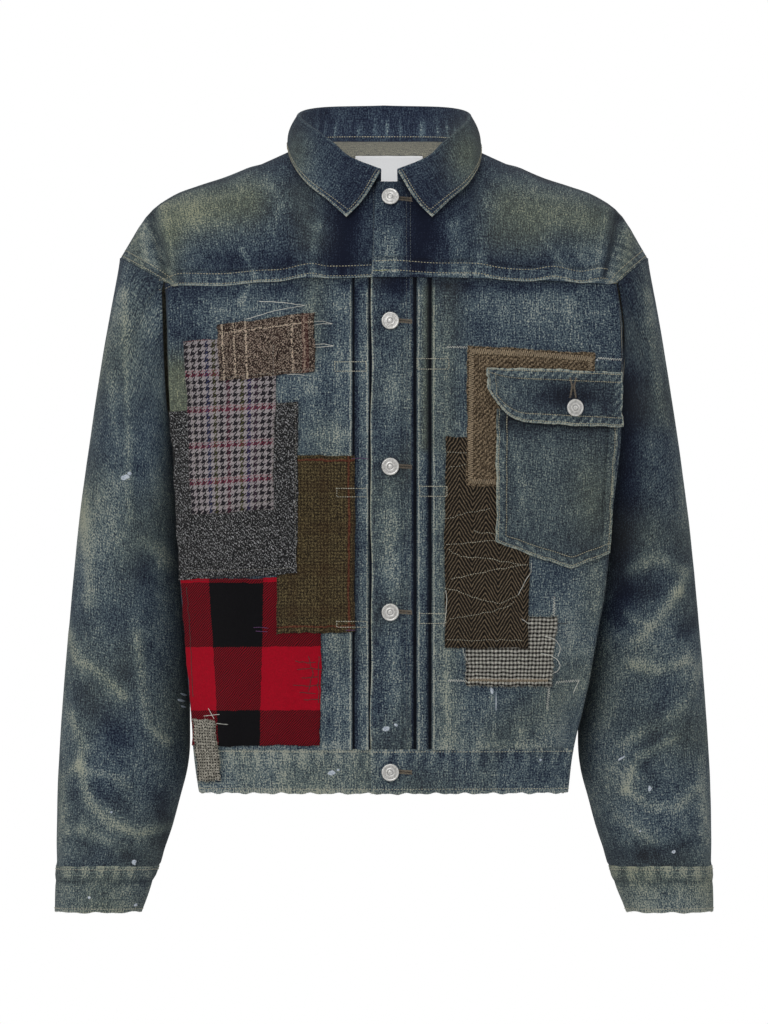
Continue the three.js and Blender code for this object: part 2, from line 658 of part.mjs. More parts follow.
for (const [side, word] of [[1, "left"], [-1, "right"]]) {
  add("front_panel_" + word, frontPanel(side), DENIM);
  add("front_yoke_" + word, frontYoke(side), DENIM_DARK);
  const around = steps(-Math.PI, Math.PI, 20);
  const down = [0, 0.05, 0.1, 0.17, 0.25, 0.35, 0.48, 0.63, 0.81, 1];
  const sleeve = (u, v) => sleevePoint(side, u, v);
  add("sleeve_" + word, wall(sleeve, around, down, flat(0), flat(-CLOTH), side, true), DENIM);
  const cuff = (u, v) => cuffPoint(side, u, v);
  const faces = [flat(BAND_STAND), flat(BAND_STAND - DOUBLE_CLOTH)];
  add("cuff_" + word, wall(cuff, around, [0, 0.5, 1], ...faces, side, true), BAND_DENIM);
}
add("back_panel", backPanel(), DENIM);
add("placket", placket(), DENIM);
add("waistband", waistband(), BAND_DENIM);
const collarRows = [0, 0.5, 1, 1.5, 2, 2.33, 2.67, 3];
add("collar", wall(collarPoint, steps(-1, 1, 20), collarRows, flat(0), flat(-COLLAR_CLOTH)), DENIM_DARK);
add("neck_label", neckLabel(), WHITE);
for (const patch of PATCHES) add(patch.name, patchOn(patch.corners), patch.color);
add(HEM_PATCH.name, patchOn(HEM_PATCH.corners, HEM_PATCH_LIFT), HEM_PATCH.color);
add("chest_pocket", pocketBody(), DENIM);
add("pocket_flap", pocketFlap(), DENIM);
BUTTON_Z.forEach((z, i) => {
  const ends = { 0: YOKE_STAND + OVERLAP, [BUTTON_Z.length - 1]: BAND_STAND + DOUBLE_CLOTH + GAP };
  const stand = ends[i] ?? OVERLAP;
  shankButton("button_" + (i + 1), BUTTON_X, z, stand + GAP, i ? front : yokeFront);
});
shankButton("button_flap", FLAP_BUTTON[0], FLAP_BUTTON[1], heightAt(...FLAP_BUTTON) + GAP);

export default jacket;
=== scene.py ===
# %% [markdown]
# # A patched denim work jacket
# The jacket is buttoned up and filled out as it is worn, with nobody inside. Its pieces were first built as
# plain solids. Here each one gets its real surface: cloth thin enough to see its edge, folds, stitches,
# patches of old wool, and years of wear. The frame is fixed: metres, +X the wearer's left, +Y the back,
# +Z up, with the origin in the middle of the neck.

# %% The frame
import math

import bpy
import numpy as np
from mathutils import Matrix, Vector
from mathutils.bvhtree import BVHTree


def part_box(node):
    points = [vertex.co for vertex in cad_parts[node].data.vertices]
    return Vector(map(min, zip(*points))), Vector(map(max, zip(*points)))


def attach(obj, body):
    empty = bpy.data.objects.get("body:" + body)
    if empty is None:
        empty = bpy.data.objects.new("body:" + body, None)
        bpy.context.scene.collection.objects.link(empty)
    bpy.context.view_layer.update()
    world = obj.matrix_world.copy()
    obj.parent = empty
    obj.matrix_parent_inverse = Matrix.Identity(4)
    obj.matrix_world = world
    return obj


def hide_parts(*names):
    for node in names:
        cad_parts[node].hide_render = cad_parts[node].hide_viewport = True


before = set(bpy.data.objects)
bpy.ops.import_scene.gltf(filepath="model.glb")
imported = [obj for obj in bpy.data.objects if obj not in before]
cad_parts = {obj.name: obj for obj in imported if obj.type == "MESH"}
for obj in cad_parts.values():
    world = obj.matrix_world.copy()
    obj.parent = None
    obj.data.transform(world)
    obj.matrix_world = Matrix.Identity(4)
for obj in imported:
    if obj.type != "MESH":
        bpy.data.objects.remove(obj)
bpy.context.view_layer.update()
MM = 0.001
print("solids in the frame:", len(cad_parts))

# %% [markdown]
# ## Camera, light and floor
# A product picture of a jacket is taken from far away with a long lens, level with its middle, so that the
# near and far parts keep one scale. A wide lens close by would swell the chest. The light is a big soft
# source in front and above, a weaker one at each side, and a pale room all round.

# %% Camera
CAMERA_BACK = 12.0
PICTURE_TALL = 0.983
PICTURE_MIDDLE_Z = -0.3235
SHARP_PLANE_Y = -0.055
SENSOR = 36.0

camera = bpy.data.objects.new("camera", bpy.data.cameras.new("camera"))
bpy.context.scene.collection.objects.link(camera)
camera.location = (0, -CAMERA_BACK, PICTURE_MIDDLE_Z)
camera.rotation_euler = (math.radians(90), 0, 0)
camera.data.sensor_width = SENSOR
camera.data.lens = SENSOR * (CAMERA_BACK + SHARP_PLANE_Y) / PICTURE_TALL
camera.data.clip_end = 60
bpy.context.scene.camera = camera
bpy.context.scene.view_settings.view_transform = "Standard"
print("lens", round(camera.data.lens), "mm")

# %% Floor
FLOOR_Z = -0.98
FLOOR_REACH = 3.4
FLOOR_SIDES = 96


def new_material(name, settings):
    """A material with its tree and its shader, some of whose own sockets are set."""
    material = bpy.data.materials.new(name)
    material.use_nodes = True
    shader = material.node_tree.nodes["Principled BSDF"]
    for title, value in settings.items():
        shader.inputs[title].default_value = value
    return material, material.node_tree, shader


turns = [2 * math.pi * i / FLOOR_SIDES for i in range(FLOOR_SIDES)]
floor_mesh = bpy.data.meshes.new("floor")
floor_mesh.from_pydata([(FLOOR_REACH * math.cos(t), FLOOR_REACH * math.sin(t), FLOOR_Z) for t in turns], [],
                       [tuple(range(FLOOR_SIDES))])
floor = bpy.data.objects.new("floor", floor_mesh)
floor_settings = {"Base Color": (0.86, 0.86, 0.85, 1), "Roughness": 0.9}
floor_mesh.materials.append(new_material("pale_floor", floor_settings)[0])
bpy.context.scene.collection.objects.link(floor)

# %% Light
# The room is white where it is seen, and dimmer as a source of light, so the lamps can shape the cloth.
# A small lamp hangs inside the neck, because nothing else reaches the cloth behind the collar.
ROOM_GLOW = 0.26
GARMENT_MIDDLE = (0, 0, PICTURE_MIDDLE_Z)
LAMPS = [
    # name, place, aim, size across, power
    ("lamp_front", (-0.9, -3.4, 1.5), GARMENT_MIDDLE, 2.2, 44),
    ("lamp_left", (2.9, -1.4, 0.5), GARMENT_MIDDLE, 1.6, 10),
    ("lamp_right", (-3.0, -1.2, 0.4), GARMENT_MIDDLE, 1.6, 12),
    ("lamp_top", (0.2, -0.3, 2.4), GARMENT_MIDDLE, 1.4, 9),
    ("lamp_back", (0.4, 3.2, 1.2), GARMENT_MIDDLE, 2.0, 20),
    ("lamp_neck", (0.0, -0.035, -0.02), (0, 0.1, 0.03), 0.04, 0.10),
]

world = bpy.data.worlds.new("room")
bpy.context.scene.world = world
world.use_nodes = True
room = world.node_tree
room_light = room.nodes["Background"]
room_light.inputs["Color"].default_value = (1, 1, 1, 1)
room_light.inputs["Strength"].default_value = ROOM_GLOW
room_seen = room.nodes.new("ShaderNodeBackground")
room_seen.inputs["Color"].default_value = (1, 1, 1, 1)
ray = room.nodes.new("ShaderNodeLightPath")
either = room.nodes.new("ShaderNodeMixShader")
room.links.new(ray.outputs["Is Camera Ray"], either.inputs[0])
room.links.new(room_light.outputs[0], either.inputs[1])
room.links.new(room_seen.outputs[0], either.inputs[2])
room.links.new(either.outputs[0], room.nodes["World Output"].inputs["Surface"])

for name, place, aim, size, power in LAMPS:
    lamp = bpy.data.lights.new(name, "AREA")
    lamp.size = size
    lamp.energy = power
    holder = bpy.data.objects.new(name, lamp)
    holder.location = place
    holder.rotation_euler = (Vector(aim) - Vector(place)).to_track_quat("-Z", "Y").to_euler()
    holder.visible_camera = False
    bpy.context.scene.collection.objects.link(holder)
print("lamps:", len(LAMPS))

# %% [markdown]
# ## The shape of the jacket
# The garment's form is a handful of outlines: how wide and how deep it is at each height, the line
# of the shoulder, and the line of each sleeve. Every point of cloth comes from them, here in millimetres.
# `track` draws a smooth line through the few rows that a form needs.

# %% Outlines
def track(rows):
    """Smooth values through rows of (place, value, ...), held level at the ends."""
    rows = np.array(rows, float)
    places, values = rows[:, 0], rows[:, 1:]
    after = np.minimum(np.arange(len(rows)) + 1, len(rows) - 1)
    before = np.maximum(np.arange(len(rows)) - 1, 0)
    slopes = (values[after] - values[before]) / (places[after] - places[before])[:, None]

    def at(place):
        x = np.clip(np.asarray(place, float), places[0], places[-1])
        i = np.clip(np.searchsorted(places, x, side="left") - 1, 0, len(places) - 2)
        span = places[i + 1] - places[i]
        f = ((x - places[i]) / span)[..., None]
        step = values[i + 1] - values[i]
        bend = (1 - f) * (slopes[i] * span[..., None] - step) - f * (slopes[i + 1] * span[..., None] - step)
        result = values[i] + step * f + f * (1 - f) * bend
        return result[..., 0] if values.shape[1] == 1 else np.moveaxis(result, -1, 0)

    return at


def mix(a, b, f):
    return a + (b - a) * f


def ease(start, end, x):
    f = np.clip((np.asarray(x, float) - start) / (end - start), 0, 1)
    return f * f * (3 - 2 * f)


CLOTH = 1.5
DOUBLE_CLOTH = 2.6
GAP = 0.35
SEAM = 1.1
HEM_Z, BAND_TOP_Z, YOKE_Z = -592, -551, -100
NOTCH_Z, UNDERARM_Z = -190, -272
SLEEVE_END_Z, CUFF_END_Z = -664, -708

EDGE_LEFT = track([(-592, 176), (-551, 181), (-505, 192), (-450, 202), (-395, 212), (-305, 221),
                   (-240, 228), (-146, 229), (-100, 222)])
EDGE_RIGHT = track([(-592, 177), (-551, 183), (-450, 190), (-389, 195), (-292, 202), (-218, 206),
                    (-100, 208)])
SIDE_X = track([(-592, 166), (-500, 171), (-400, 177), (-272, 190), (-190, 212), (-100, 225)])
SIDE_Y = 15
FRONT_DEPTH = track([(-592, 103), (-450, 112), (-260, 118), (-100, 109)])
EDGE_DEPTH = track([(-592, 64), (-400, 70), (-100, 70)])
BACK_DEPTH = track([(-592, 100), (-400, 106), (-200, 116), (-100, 112)])
FRONT_POWER, BACK_POWER, SIDE_POWER = 2.6, 2.7, 0.6


def edge_x(side, z):
    return EDGE_LEFT(z) if side > 0 else EDGE_RIGHT(z)


def body(side, z, along):
    """A place on the body: along is 0 in mid-front, 1 at the front's edge, 2 at the side, 3 at the back."""
    z, along = np.broadcast_arrays(np.asarray(z, float), np.asarray(along, float))
    edge, edge_depth = edge_x(side, z), EDGE_DEPTH(z)
    bow = 1 - np.minimum(np.abs(along), 1) ** FRONT_POWER
    wrap = np.clip(along - 1, 0, 1)
    turn = np.clip(along - 2, 0, 2) * math.pi / 2
    out = np.sign(np.cos(turn)) * np.abs(np.cos(turn)) ** (2 / BACK_POWER)
    back = np.maximum(np.sin(turn), 0) ** (2 / BACK_POWER)
    x = np.where(along <= 1, along * edge,
                 np.where(along <= 2, mix(edge, SIDE_X(z), wrap ** SIDE_POWER), out * SIDE_X(z)))
    y = np.where(along <= 1, -mix(edge_depth, FRONT_DEPTH(z), bow),
                 np.where(along <= 2, mix(-edge_depth, SIDE_Y, wrap), mix(SIDE_Y, BACK_DEPTH(z), back)))
    return np.stack([side * x, y, z], -1)


def front(x, z):
    """The front of the body at a place seen from the front."""
    x, z = np.broadcast_arrays(np.asarray(x, float), np.asarray(z, float))
    left = body(1, z, np.abs(x) / EDGE_LEFT(z))
    right = body(-1, z, np.abs(x) / EDGE_RIGHT(z))
    return np.where((x < 0)[..., None], right, left)


print("chest", round(float(EDGE_LEFT(-240) + EDGE_RIGHT(-240))), "mm across the front")

# %% Shoulders and neck
NECK_SHARE = 0.42
SHOULDER = track([(0.42, 88, 29), (0.55, 122, 13), (0.68, 152, 0), (0.8, 181, -9.5), (0.88, 204, -19),
                  (0.945, 228, -38), (1, 252, -78)])
SHOULDER_SEAM_Y = -14
EDGE_UP = 0.995
FRONT_TURN, BACK_TURN, BACK_NECK_TURN = math.radians(75), math.radians(105), math.radians(82)
NECK_X, NECK_Y, NECK_MIDDLE_Y = 88, 77, -11
FRONT_MIDDLE_X = 5
NECK_BACK_Z, NECK_DROP = 37, 46
BACK_EDGE = 2.3


def yoke_seam_z(x):
    return YOKE_Z + 3 - 6 * (np.asarray(x, float) / 210) ** 2


def neck(side, angle):
    forward = np.maximum(np.cos(angle), 0)
    height = NECK_BACK_Z - NECK_DROP * ((1 + np.cos(angle)) / 2) ** 1.9
    return np.stack([side * NECK_X * np.sin(angle) + FRONT_MIDDLE_X * forward,
                     NECK_MIDDLE_Y - NECK_Y * np.cos(angle), height], -1)


def top_edge(side, share, is_back):
    """The top line of the yoke and of the back: first the neck, then the shoulder seam."""
    way = np.clip(np.abs(share) / NECK_SHARE, 0, 1)
    angle = np.sign(share) * mix(np.arcsin(way), way * math.pi / 2, way)
    neck_part = neck(side, math.pi - angle if is_back else angle)
    x, peak = SHOULDER(share)
    y = mix(NECK_MIDDLE_Y, SHOULDER_SEAM_Y, ease(NECK_SHARE, 0.6, share))
    seam_part = np.stack([side * x, y, mix(YOKE_Z, peak, math.sin(BACK_TURN))], -1)
    return np.where((share < NECK_SHARE)[..., None], neck_part, seam_part)


def over_shoulder(bottom, top, up, turn):
    """From a low point to a top one, upright at first and then turning over the shoulder."""
    rise = (np.sin(up * turn) / np.sin(turn))[..., None]
    lean = ((1 - np.cos(up * turn)) / (1 - np.cos(turn)))[..., None]
    f = np.concatenate([rise, lean, rise], -1)
    return mix(bottom, top, f)


def yoke_place(side, share, up):
    share, up = np.broadcast_arrays(np.asarray(share, float), np.asarray(up, float))
    seam_z = yoke_seam_z(share * edge_x(side, YOKE_Z))
    return over_shoulder(body(side, seam_z, share), top_edge(side, share, False), up,
                         np.full(share.shape, FRONT_TURN))


def two_sided(place, sign, *inputs):
    """One grid from both sides' places: the right side's where sign is negative."""
    return np.where((sign < 0)[..., None], place(-1, *inputs), place(1, *inputs))


def upper_back_place(side, share, up):
    share, up = np.broadcast_arrays(np.asarray(share, float), np.asarray(up, float))
    bottom = body(side, np.full(share.shape, float(YOKE_Z)), 3 - share * (3 - BACK_EDGE))
    turn = mix(BACK_NECK_TURN, BACK_TURN, ease(NECK_SHARE, 0.6, share))
    return over_shoulder(bottom, top_edge(side, share, True), up, turn)


# %% Armholes and sleeves
FRONT_WRAP = 1.06
YOKE_TURN = 0.82
ARMHOLE_STRAIGHT = 0.42
SLEEVE_TOP_Z = -78
SLEEVE_HOLD = 0.3
SLEEVE_OUT = track([(-664, 316), (-571, 314), (-456, 306), (-341, 295), (-226, 280), (-168, 271),
                    (-110, 259), (-78, 253)])
SLEEVE_IN = track([(-664, 217), (-629, 205), (-600, 197), (-571, 189.5), (-545, 187), (-450, 189),
                   (-340, 195), (-272, 198)])
SLEEVE_DEPTH = track([(0, 72), (0.3, 66), (0.6, 59), (1, 43)])
SLEEVE_Y = track([(0, 2), (0.3, 13), (0.6, 10), (1, -3)])
SLEEVE_POWER = 2.15
CUFF_IN_X, CUFF_OUT_X, CUFF_DEPTH = 234, 317, 38


def armhole_turn(z):
    return np.arcsin(np.clip((NOTCH_Z - z) / (NOTCH_Z - UNDERARM_Z), 0, 1))


def front_end(z):
    return mix(2, FRONT_WRAP, np.cos(armhole_turn(z)))


def back_end(z):
    return mix(2, BACK_EDGE, np.cos(armhole_turn(z)))


def armhole(side, angle):
    """The armhole by the angle from the shoulder end: forwards is positive, the underarm is a half turn."""
    way = np.abs(angle)
    up = np.clip(1 - way / YOKE_TURN, 0, 1)
    one = np.ones_like(way)
    upper = np.where((angle < 0)[..., None], upper_back_place(side, one, up), yoke_place(side, one, up))
    down = np.clip((way - YOKE_TURN) / (math.pi - YOKE_TURN), 0, 1)
    turn = np.maximum(down - ARMHOLE_STRAIGHT, 0) / (1 - ARMHOLE_STRAIGHT) * math.pi / 2
    start = np.where(angle < 0, YOKE_Z, yoke_seam_z(edge_x(side, YOKE_Z)))
    z = np.where(down < ARMHOLE_STRAIGHT, mix(start, NOTCH_Z, down / ARMHOLE_STRAIGHT),
                 mix(NOTCH_Z, UNDERARM_Z, np.sin(turn)))
    lower = body(side, z, np.where(angle < 0, back_end(z), front_end(z)))
    return np.where((way <= YOKE_TURN)[..., None], upper, lower)


def rounded(value, power):
    return np.sign(value) * np.abs(value) ** (2 / power)


def sleeve_place(side, angle, down):
    """Rings that fan out from the armhole to the level cuff."""
    angle, down = np.broadcast_arrays(np.asarray(angle, float), np.asarray(down, float))
    out_z = mix(SLEEVE_TOP_Z, SLEEVE_END_Z, down ** 0.9)
    in_z = mix(UNDERARM_Z, SLEEVE_END_Z, down ** 1.25)
    across = (1 + rounded(np.cos(angle), SLEEVE_POWER)) / 2
    deep = rounded(np.sin(angle), SLEEVE_POWER)
    ring = np.stack([side * mix(SLEEVE_IN(in_z), SLEEVE_OUT(out_z), across),
                     SLEEVE_Y(down) - deep * SLEEVE_DEPTH(down), mix(in_z, out_z, across)], -1)
    hold = ((1 - np.minimum(down / SLEEVE_HOLD, 1)) ** 2)[..., None]
    below = (np.abs(angle) > YOKE_TURN + 0.05)[..., None]
    clear_below = np.stack([np.full(angle.shape, side * 3.0), np.where(angle > 0, 2.0, 0.0), 0 * angle], -1)
    clear_above = np.stack([np.full(angle.shape, side * 1.3), 0 * angle, np.full(angle.shape, -SEAM)], -1)
    start = armhole(side, angle) + np.where(below, clear_below, clear_above)
    return mix(ring, start, hold)


def cuff_place(side, angle, down):
    angle, down = np.broadcast_arrays(np.asarray(angle, float), np.asarray(down, float))
    in_x = mix(SLEEVE_IN(SLEEVE_END_Z), CUFF_IN_X, down)
    out_x = mix(SLEEVE_OUT(SLEEVE_END_Z), CUFF_OUT_X, down)
    depth = mix(SLEEVE_DEPTH(1), CUFF_DEPTH, down)
    return np.stack([side * mix(in_x, out_x, (1 + np.cos(angle)) / 2), SLEEVE_Y(1) - np.sin(angle) * depth,
                     mix(SLEEVE_END_Z - GAP, CUFF_END_Z, down)], -1)


sleeve_run = sleeve_place(1, 0.0, 1.0) - sleeve_place(1, 0.0, 0.0)
print("sleeve", round(float(np.linalg.norm(sleeve_run))), "mm long")

# %% [markdown]
# ## Cloth as a thin shell
# A garment piece is a sheet with two faces and a cut or folded edge. It could be one surface with a Solidify
# modifier, but then the edge is a hard step. Here a grid of outer points gets an inner layer and a rounded
# rim, written straight into the mesh. Each point also carries what the finish needs: how worn the cloth is
# there, how yellowed, and how dark with painted shade. The cloth's own lengths become its UV map, in metres,
# so a weave follows every fold.

# %% Making a shell
RIM_STEPS = 3
# The shade mark is painted shade: it darkens the colour in gutters and grooves, under edges and beside the
# body, and on the patches it also carries a little uneven tone.
MARKS = ("wear", "khaki", "shade")


def normals_of(grid, closed, handed):
    """Unit vectors out of a grid of places: rows first, columns next."""
    if closed:
        across = np.roll(grid, -1, 1) - np.roll(grid, 1, 1)
    else:
        across = np.gradient(grid, axis=1)
    normal = np.cross(across, np.gradient(grid, axis=0)) * handed
    return normal / np.maximum(np.linalg.norm(normal, axis=-1, keepdims=True), 1e-9)


def lengths_along(grid, axis, closed):
    """How far each column or row is along the cloth, from the mean step between neighbours."""
    steps = np.linalg.norm(np.diff(grid, axis=axis), axis=-1).mean(axis=1 - axis)
    if closed and axis == 1:
        last = np.linalg.norm(grid[:, 0] - grid[:, -1], axis=-1).mean()
        steps = np.append(steps, last)
    return np.concatenate([[0], np.cumsum(steps)])


def link(obj):
    bpy.context.scene.collection.objects.link(obj)
    return obj


def shell(node_name, grid, thickness, materials, handed=1, closed=False, marks=None):
    """The cloth piece that stands for a solid, from its outer grid. Materials are its outside and inside."""
    name = "cloth_" + node_name
    rows, cols = grid.shape[:2]
    normal = normals_of(grid, closed, handed)
    points = np.concatenate([layer.reshape(-1, 3) for layer in (grid, grid - normal * thickness)])
    size = rows * cols

    def at(i, j, layer):
        return layer * size + i * cols + j % cols

    i, j = np.meshgrid(np.arange(rows - 1), np.arange(cols if closed else cols - 1), indexing="ij")
    i, j = i.ravel(), j.ravel()
    outside = np.stack([at(i, j, 0), at(i, j + 1, 0), at(i + 1, j + 1, 0), at(i + 1, j, 0)], 1)
    inside = np.stack([at(i, j, 1), at(i + 1, j, 1), at(i + 1, j + 1, 1), at(i, j + 1, 1)], 1)
    if handed < 0:
        outside, inside = outside[:, ::-1], inside[:, ::-1]

    # The edge loops, walked so that the cloth is on their left as seen from outside.
    if closed:
        loops = [[(0, c) for c in range(cols)], [(rows - 1, c) for c in reversed(range(cols))]]
    else:
        loops = [[(0, c) for c in range(cols - 1)] + [(r, cols - 1) for r in range(rows - 1)]
                 + [(rows - 1, c) for c in range(cols - 1, 0, -1)] + [(r, 0) for r in range(rows - 1, 0, -1)]]
    extra_points, rim_faces, rim_sources = [], [], []
    next_point = 2 * size
    for loop in loops:
        loop = loop if handed > 0 else loop[::-1]
        r, c = np.array(loop).T
        edge, out_normal = grid[r, c], normal[r, c]
        along = np.roll(edge, -1, 0) - np.roll(edge, 1, 0)
        away = np.cross(along, out_normal)
        away /= np.maximum(np.linalg.norm(away, axis=1, keepdims=True), 1e-9)
        previous = at(r, c, 0)
        for step in range(1, RIM_STEPS + 2):
            if step <= RIM_STEPS:
                turn = math.pi * step / (RIM_STEPS + 1)
                ring = edge - out_normal * thickness * (1 - math.cos(turn)) / 2
                ring = ring + away * thickness * 0.35 * math.sin(turn)
                current = np.arange(next_point, next_point + len(loop))
                next_point += len(loop)
                extra_points.append(ring)
                rim_sources.append(r * cols + c)
            else:
                current = at(r, c, 1)
            rim_faces.append(np.stack([previous, current, np.roll(current, -1), np.roll(previous, -1)], 1))
            previous = current
    points = np.concatenate([points, *extra_points])
    rim_faces = np.concatenate(rim_faces)
    faces = np.concatenate([outside, inside, rim_faces])

    mesh = bpy.data.meshes.new(name)
    mesh.from_pydata((points * MM).tolist(), [], faces.tolist())
    for material in materials:
        mesh.materials.append(material)
    slots = np.zeros(len(faces), np.int32)
    slots[len(outside):len(outside) + len(inside)] = 1
    mesh.polygons.foreach_set("material_index", slots)
    mesh.polygons.foreach_set("use_smooth", np.ones(len(faces), bool))

    sources = np.concatenate([np.arange(size), np.arange(size), *rim_sources]).astype(int)
    for mark in MARKS:
        values = np.broadcast_to((marks or {}).get(mark, 0.0), (rows, cols))
        layer = mesh.attributes.new(mark, "FLOAT", "POINT")
        layer.data.foreach_set("value", values.reshape(-1)[sources].astype(np.float32))
    add_lengths(mesh, grid, sources, cols, closed, len(faces))
    mesh.validate()
    return link(bpy.data.objects.new(name, mesh))


def add_lengths(mesh, grid, sources, cols, closed, face_count):
    """The UV map: lengths along the cloth in metres, whole over the closing column of a tube."""
    u_lengths = lengths_along(grid, 1, closed) * MM
    v_lengths = lengths_along(grid, 0, closed) * MM
    corners = np.zeros(len(mesh.loops), np.int32)
    mesh.loops.foreach_get("vertex_index", corners)
    source = sources[corners]
    column, row = source % cols, source // cols
    u = u_lengths[column]
    if closed:
        quad = column.reshape(face_count, 4)
        wraps = (quad.max(1) - quad.min(1) > cols / 2)[:, None] & (quad == 0)
        u = np.where(wraps, u_lengths[-1], u.reshape(face_count, 4)).ravel()
    layer = mesh.uv_layers.new(name="UVMap")
    layer.data.foreach_set("uv", np.stack([u, v_lengths[row]], 1).astype(np.float32).ravel())


# %% [markdown]
# Folds and fades are drawn as a dressmaker's chalk would: each stroke is a short line of places seen
# from the front, with a width and a strength. A stroke that lifts or sinks the cloth is a crease, and one
# that bleaches it is a fade. On denim the two go together, because ridges rub and lose their dye.

# %% Strokes
def stroke_at(x, z, line, width):
    """1 on a line of (x, z) places, falling softly to 0 at about twice its width away."""
    nearest = np.full(np.shape(x), 1e9)
    for (ax, az), (bx, bz) in zip(line[:-1], line[1:]):
        dx, dz = bx - ax, bz - az
        f = np.clip(((x - ax) * dx + (z - az) * dz) / (dx * dx + dz * dz + 1e-9), 0, 1)
        nearest = np.minimum(nearest, np.hypot(x - ax - f * dx, z - az - f * dz))
    return hump(nearest, width)


def strokes_at(x, z, strokes):
    """The sum of (line, width, strength) strokes."""
    total = np.zeros(np.shape(x))
    for line, width, strength in strokes:
        total += strength * stroke_at(x, z, line, width)
    return total


def spot_at(x, z, middle, size):
    """1 at a place, falling softly to 0 over an oval."""
    return np.exp(-((x - middle[0]) / size[0]) ** 2 - ((z - middle[1]) / size[1]) ** 2)


def hump(away, width):
    """1 where away is 0, falling softly to 0 on both sides."""
    return np.exp(-(away / width) ** 2)


def unevenness(x, z, seed):
    """The slow, gentle waviness that any washed cloth has, between about -1 and 1."""
    rng = np.random.default_rng(seed)
    total = np.zeros(np.shape(x))
    for wave in (150, 95, 60, 38):
        angle, phase = rng.uniform(0, math.pi), rng.uniform(0, 2 * math.pi)
        total += np.sin((x * math.cos(angle) + z * math.sin(angle)) * 2 * math.pi / wave + phase) * wave / 150
    return total / 2.2


def pushed(grid, amount, closed=False, handed=1):
    """The same grid with each place moved out of the cloth by an amount in millimetres."""
    return grid + normals_of(grid, closed, handed) * np.asarray(amount)[..., None]


print("marks on every cloth point:", ", ".join(MARKS))

# %% [markdown]
# ## Node helpers
# Materials are long chains of small nodes. Two helpers keep them readable: one adds a node with its inputs
# already set or linked, and one does arithmetic. Colours are written as on a colour card, in sRGB hex.

# %% Nodes in one line each
def node(tree, kind, inputs=None, **settings):
    made = tree.nodes.new(kind)
    for key, value in settings.items():
        setattr(made, key, value)
    for key, value in (inputs or {}).items():
        if isinstance(value, bpy.types.NodeSocket):
            tree.links.new(value, made.inputs[key])
        else:
            made.inputs[key].default_value = value
    return made


def calc(tree, operation, *values, clamp=False):
    made = node(tree, "ShaderNodeMath", dict(enumerate(values)), operation=operation, use_clamp=clamp)
    return made.outputs[0]


def smooth(tree, value, low, high):
    """0 below low, 1 above high, soft between."""
    inputs = {"Value": value, "From Min": low, "From Max": high}
    return node(tree, "ShaderNodeMapRange", inputs, interpolation_type="SMOOTHSTEP").outputs[0]


def blend(tree, share, first, second, way="MIX"):
    made = node(tree, "ShaderNodeMix", {0: share, 6: first, 7: second}, data_type="RGBA", blend_type=way)
    return made.outputs[2]


def noise(tree, places, scale, detail):
    made = node(tree, "ShaderNodeTexNoise", {"Vector": places, "Scale": scale, "Detail": detail})
    return made.outputs["Fac"]


def scaled(tree, vector, gain):
    return node(tree, "ShaderNodeVectorMath", {0: vector, "Scale": gain}, operation="SCALE").outputs[0]


def tone(code):
    """A linear colour from a colour card's hex code."""
    parts = [int(code[i:i + 2], 16) / 255 for i in (0, 2, 4)]
    return (*[c / 12.92 if c <= 0.04045 else ((c + 0.055) / 1.055) ** 2.4 for c in parts], 1.0)


def ramp(tree, value, stops):
    made = node(tree, "ShaderNodeValToRGB", {"Fac": value})
    elements = made.color_ramp.elements
    while len(elements) < len(stops):
        elements.new(0.5)
    for element, (place, code) in zip(elements, stops):
        element.position = place
        element.color = tone(code)
    return made.outputs["Color"]


def new_group(name, inputs, outputs):
    """A shader node group: inputs and outputs are (name, kind, default) rows."""
    tree = bpy.data.node_groups.new(name, "ShaderNodeTree")
    for direction, rows in (("INPUT", inputs), ("OUTPUT", outputs)):
        for title, kind, default in rows:
            socket = tree.interface.new_socket(title, in_out=direction, socket_type="NodeSocket" + kind)
            if default is not None:
                socket.default_value = default
    return tree, tree.nodes.new("NodeGroupInput").outputs, tree.nodes.new("NodeGroupOutput").inputs


def use_group(tree, group, inputs=None):
    return node(tree, "ShaderNodeGroup", inputs, node_tree=group).outputs


# %% [markdown]
# ## The grain of the cloth
# Denim is a twill: dyed warp threads run up and down and white weft threads cross them in slanting steps.
# From a pace away the slant only shimmers, and what is seen is the uneven yarn: short pale streaks down the
# warp, fainter ones across, and fine specks. Noise stretched along each direction of the UV map gives those,
# at real lengths, and one group serves every kind of cloth on the jacket.

# %% Group: cloth_grain
def stretched_noise(tree, lengths, size, detail=1.0):
    """Noise over the cloth whose grains are size = (across, along) in metres."""
    spread = node(tree, "ShaderNodeVectorMath", {0: lengths, 1: (1 / size[0], 1 / size[1], 1)},
                  operation="MULTIPLY").outputs[0]
    return node(tree, "ShaderNodeTexNoise", {"Vector": spread, "Scale": 1.0, "Detail": detail},
                noise_dimensions="2D").outputs["Fac"]


grain_group, _, grain_out = new_group("cloth_grain", [], [
    ("Warp", "Float", None), ("Weft", "Float", None), ("Speck", "Float", None), ("Twill", "Float", None),
    ("Mottle", "Float", None), ("Height", "Float", None)])
lengths = grain_group.nodes.new("ShaderNodeUVMap").outputs[0]
axes = node(grain_group, "ShaderNodeSeparateXYZ", {0: lengths}).outputs
warp = stretched_noise(grain_group, lengths, (0.0014, 0.011))
weft = stretched_noise(grain_group, lengths, (0.009, 0.0014))
speck = stretched_noise(grain_group, lengths, (0.0013, 0.0016), 2.0)
mottle = stretched_noise(grain_group, lengths, (0.022, 0.03), 4.0)
TWILL_STEP = 0.00115
slant = calc(grain_group, "ADD", axes[0], axes[1])
twill = calc(grain_group, "SINE", calc(grain_group, "MULTIPLY", slant, 2 * math.pi / TWILL_STEP))
height = calc(grain_group, "MULTIPLY_ADD", twill, 0.18, calc(grain_group, "MULTIPLY_ADD", warp, 0.7, speck))
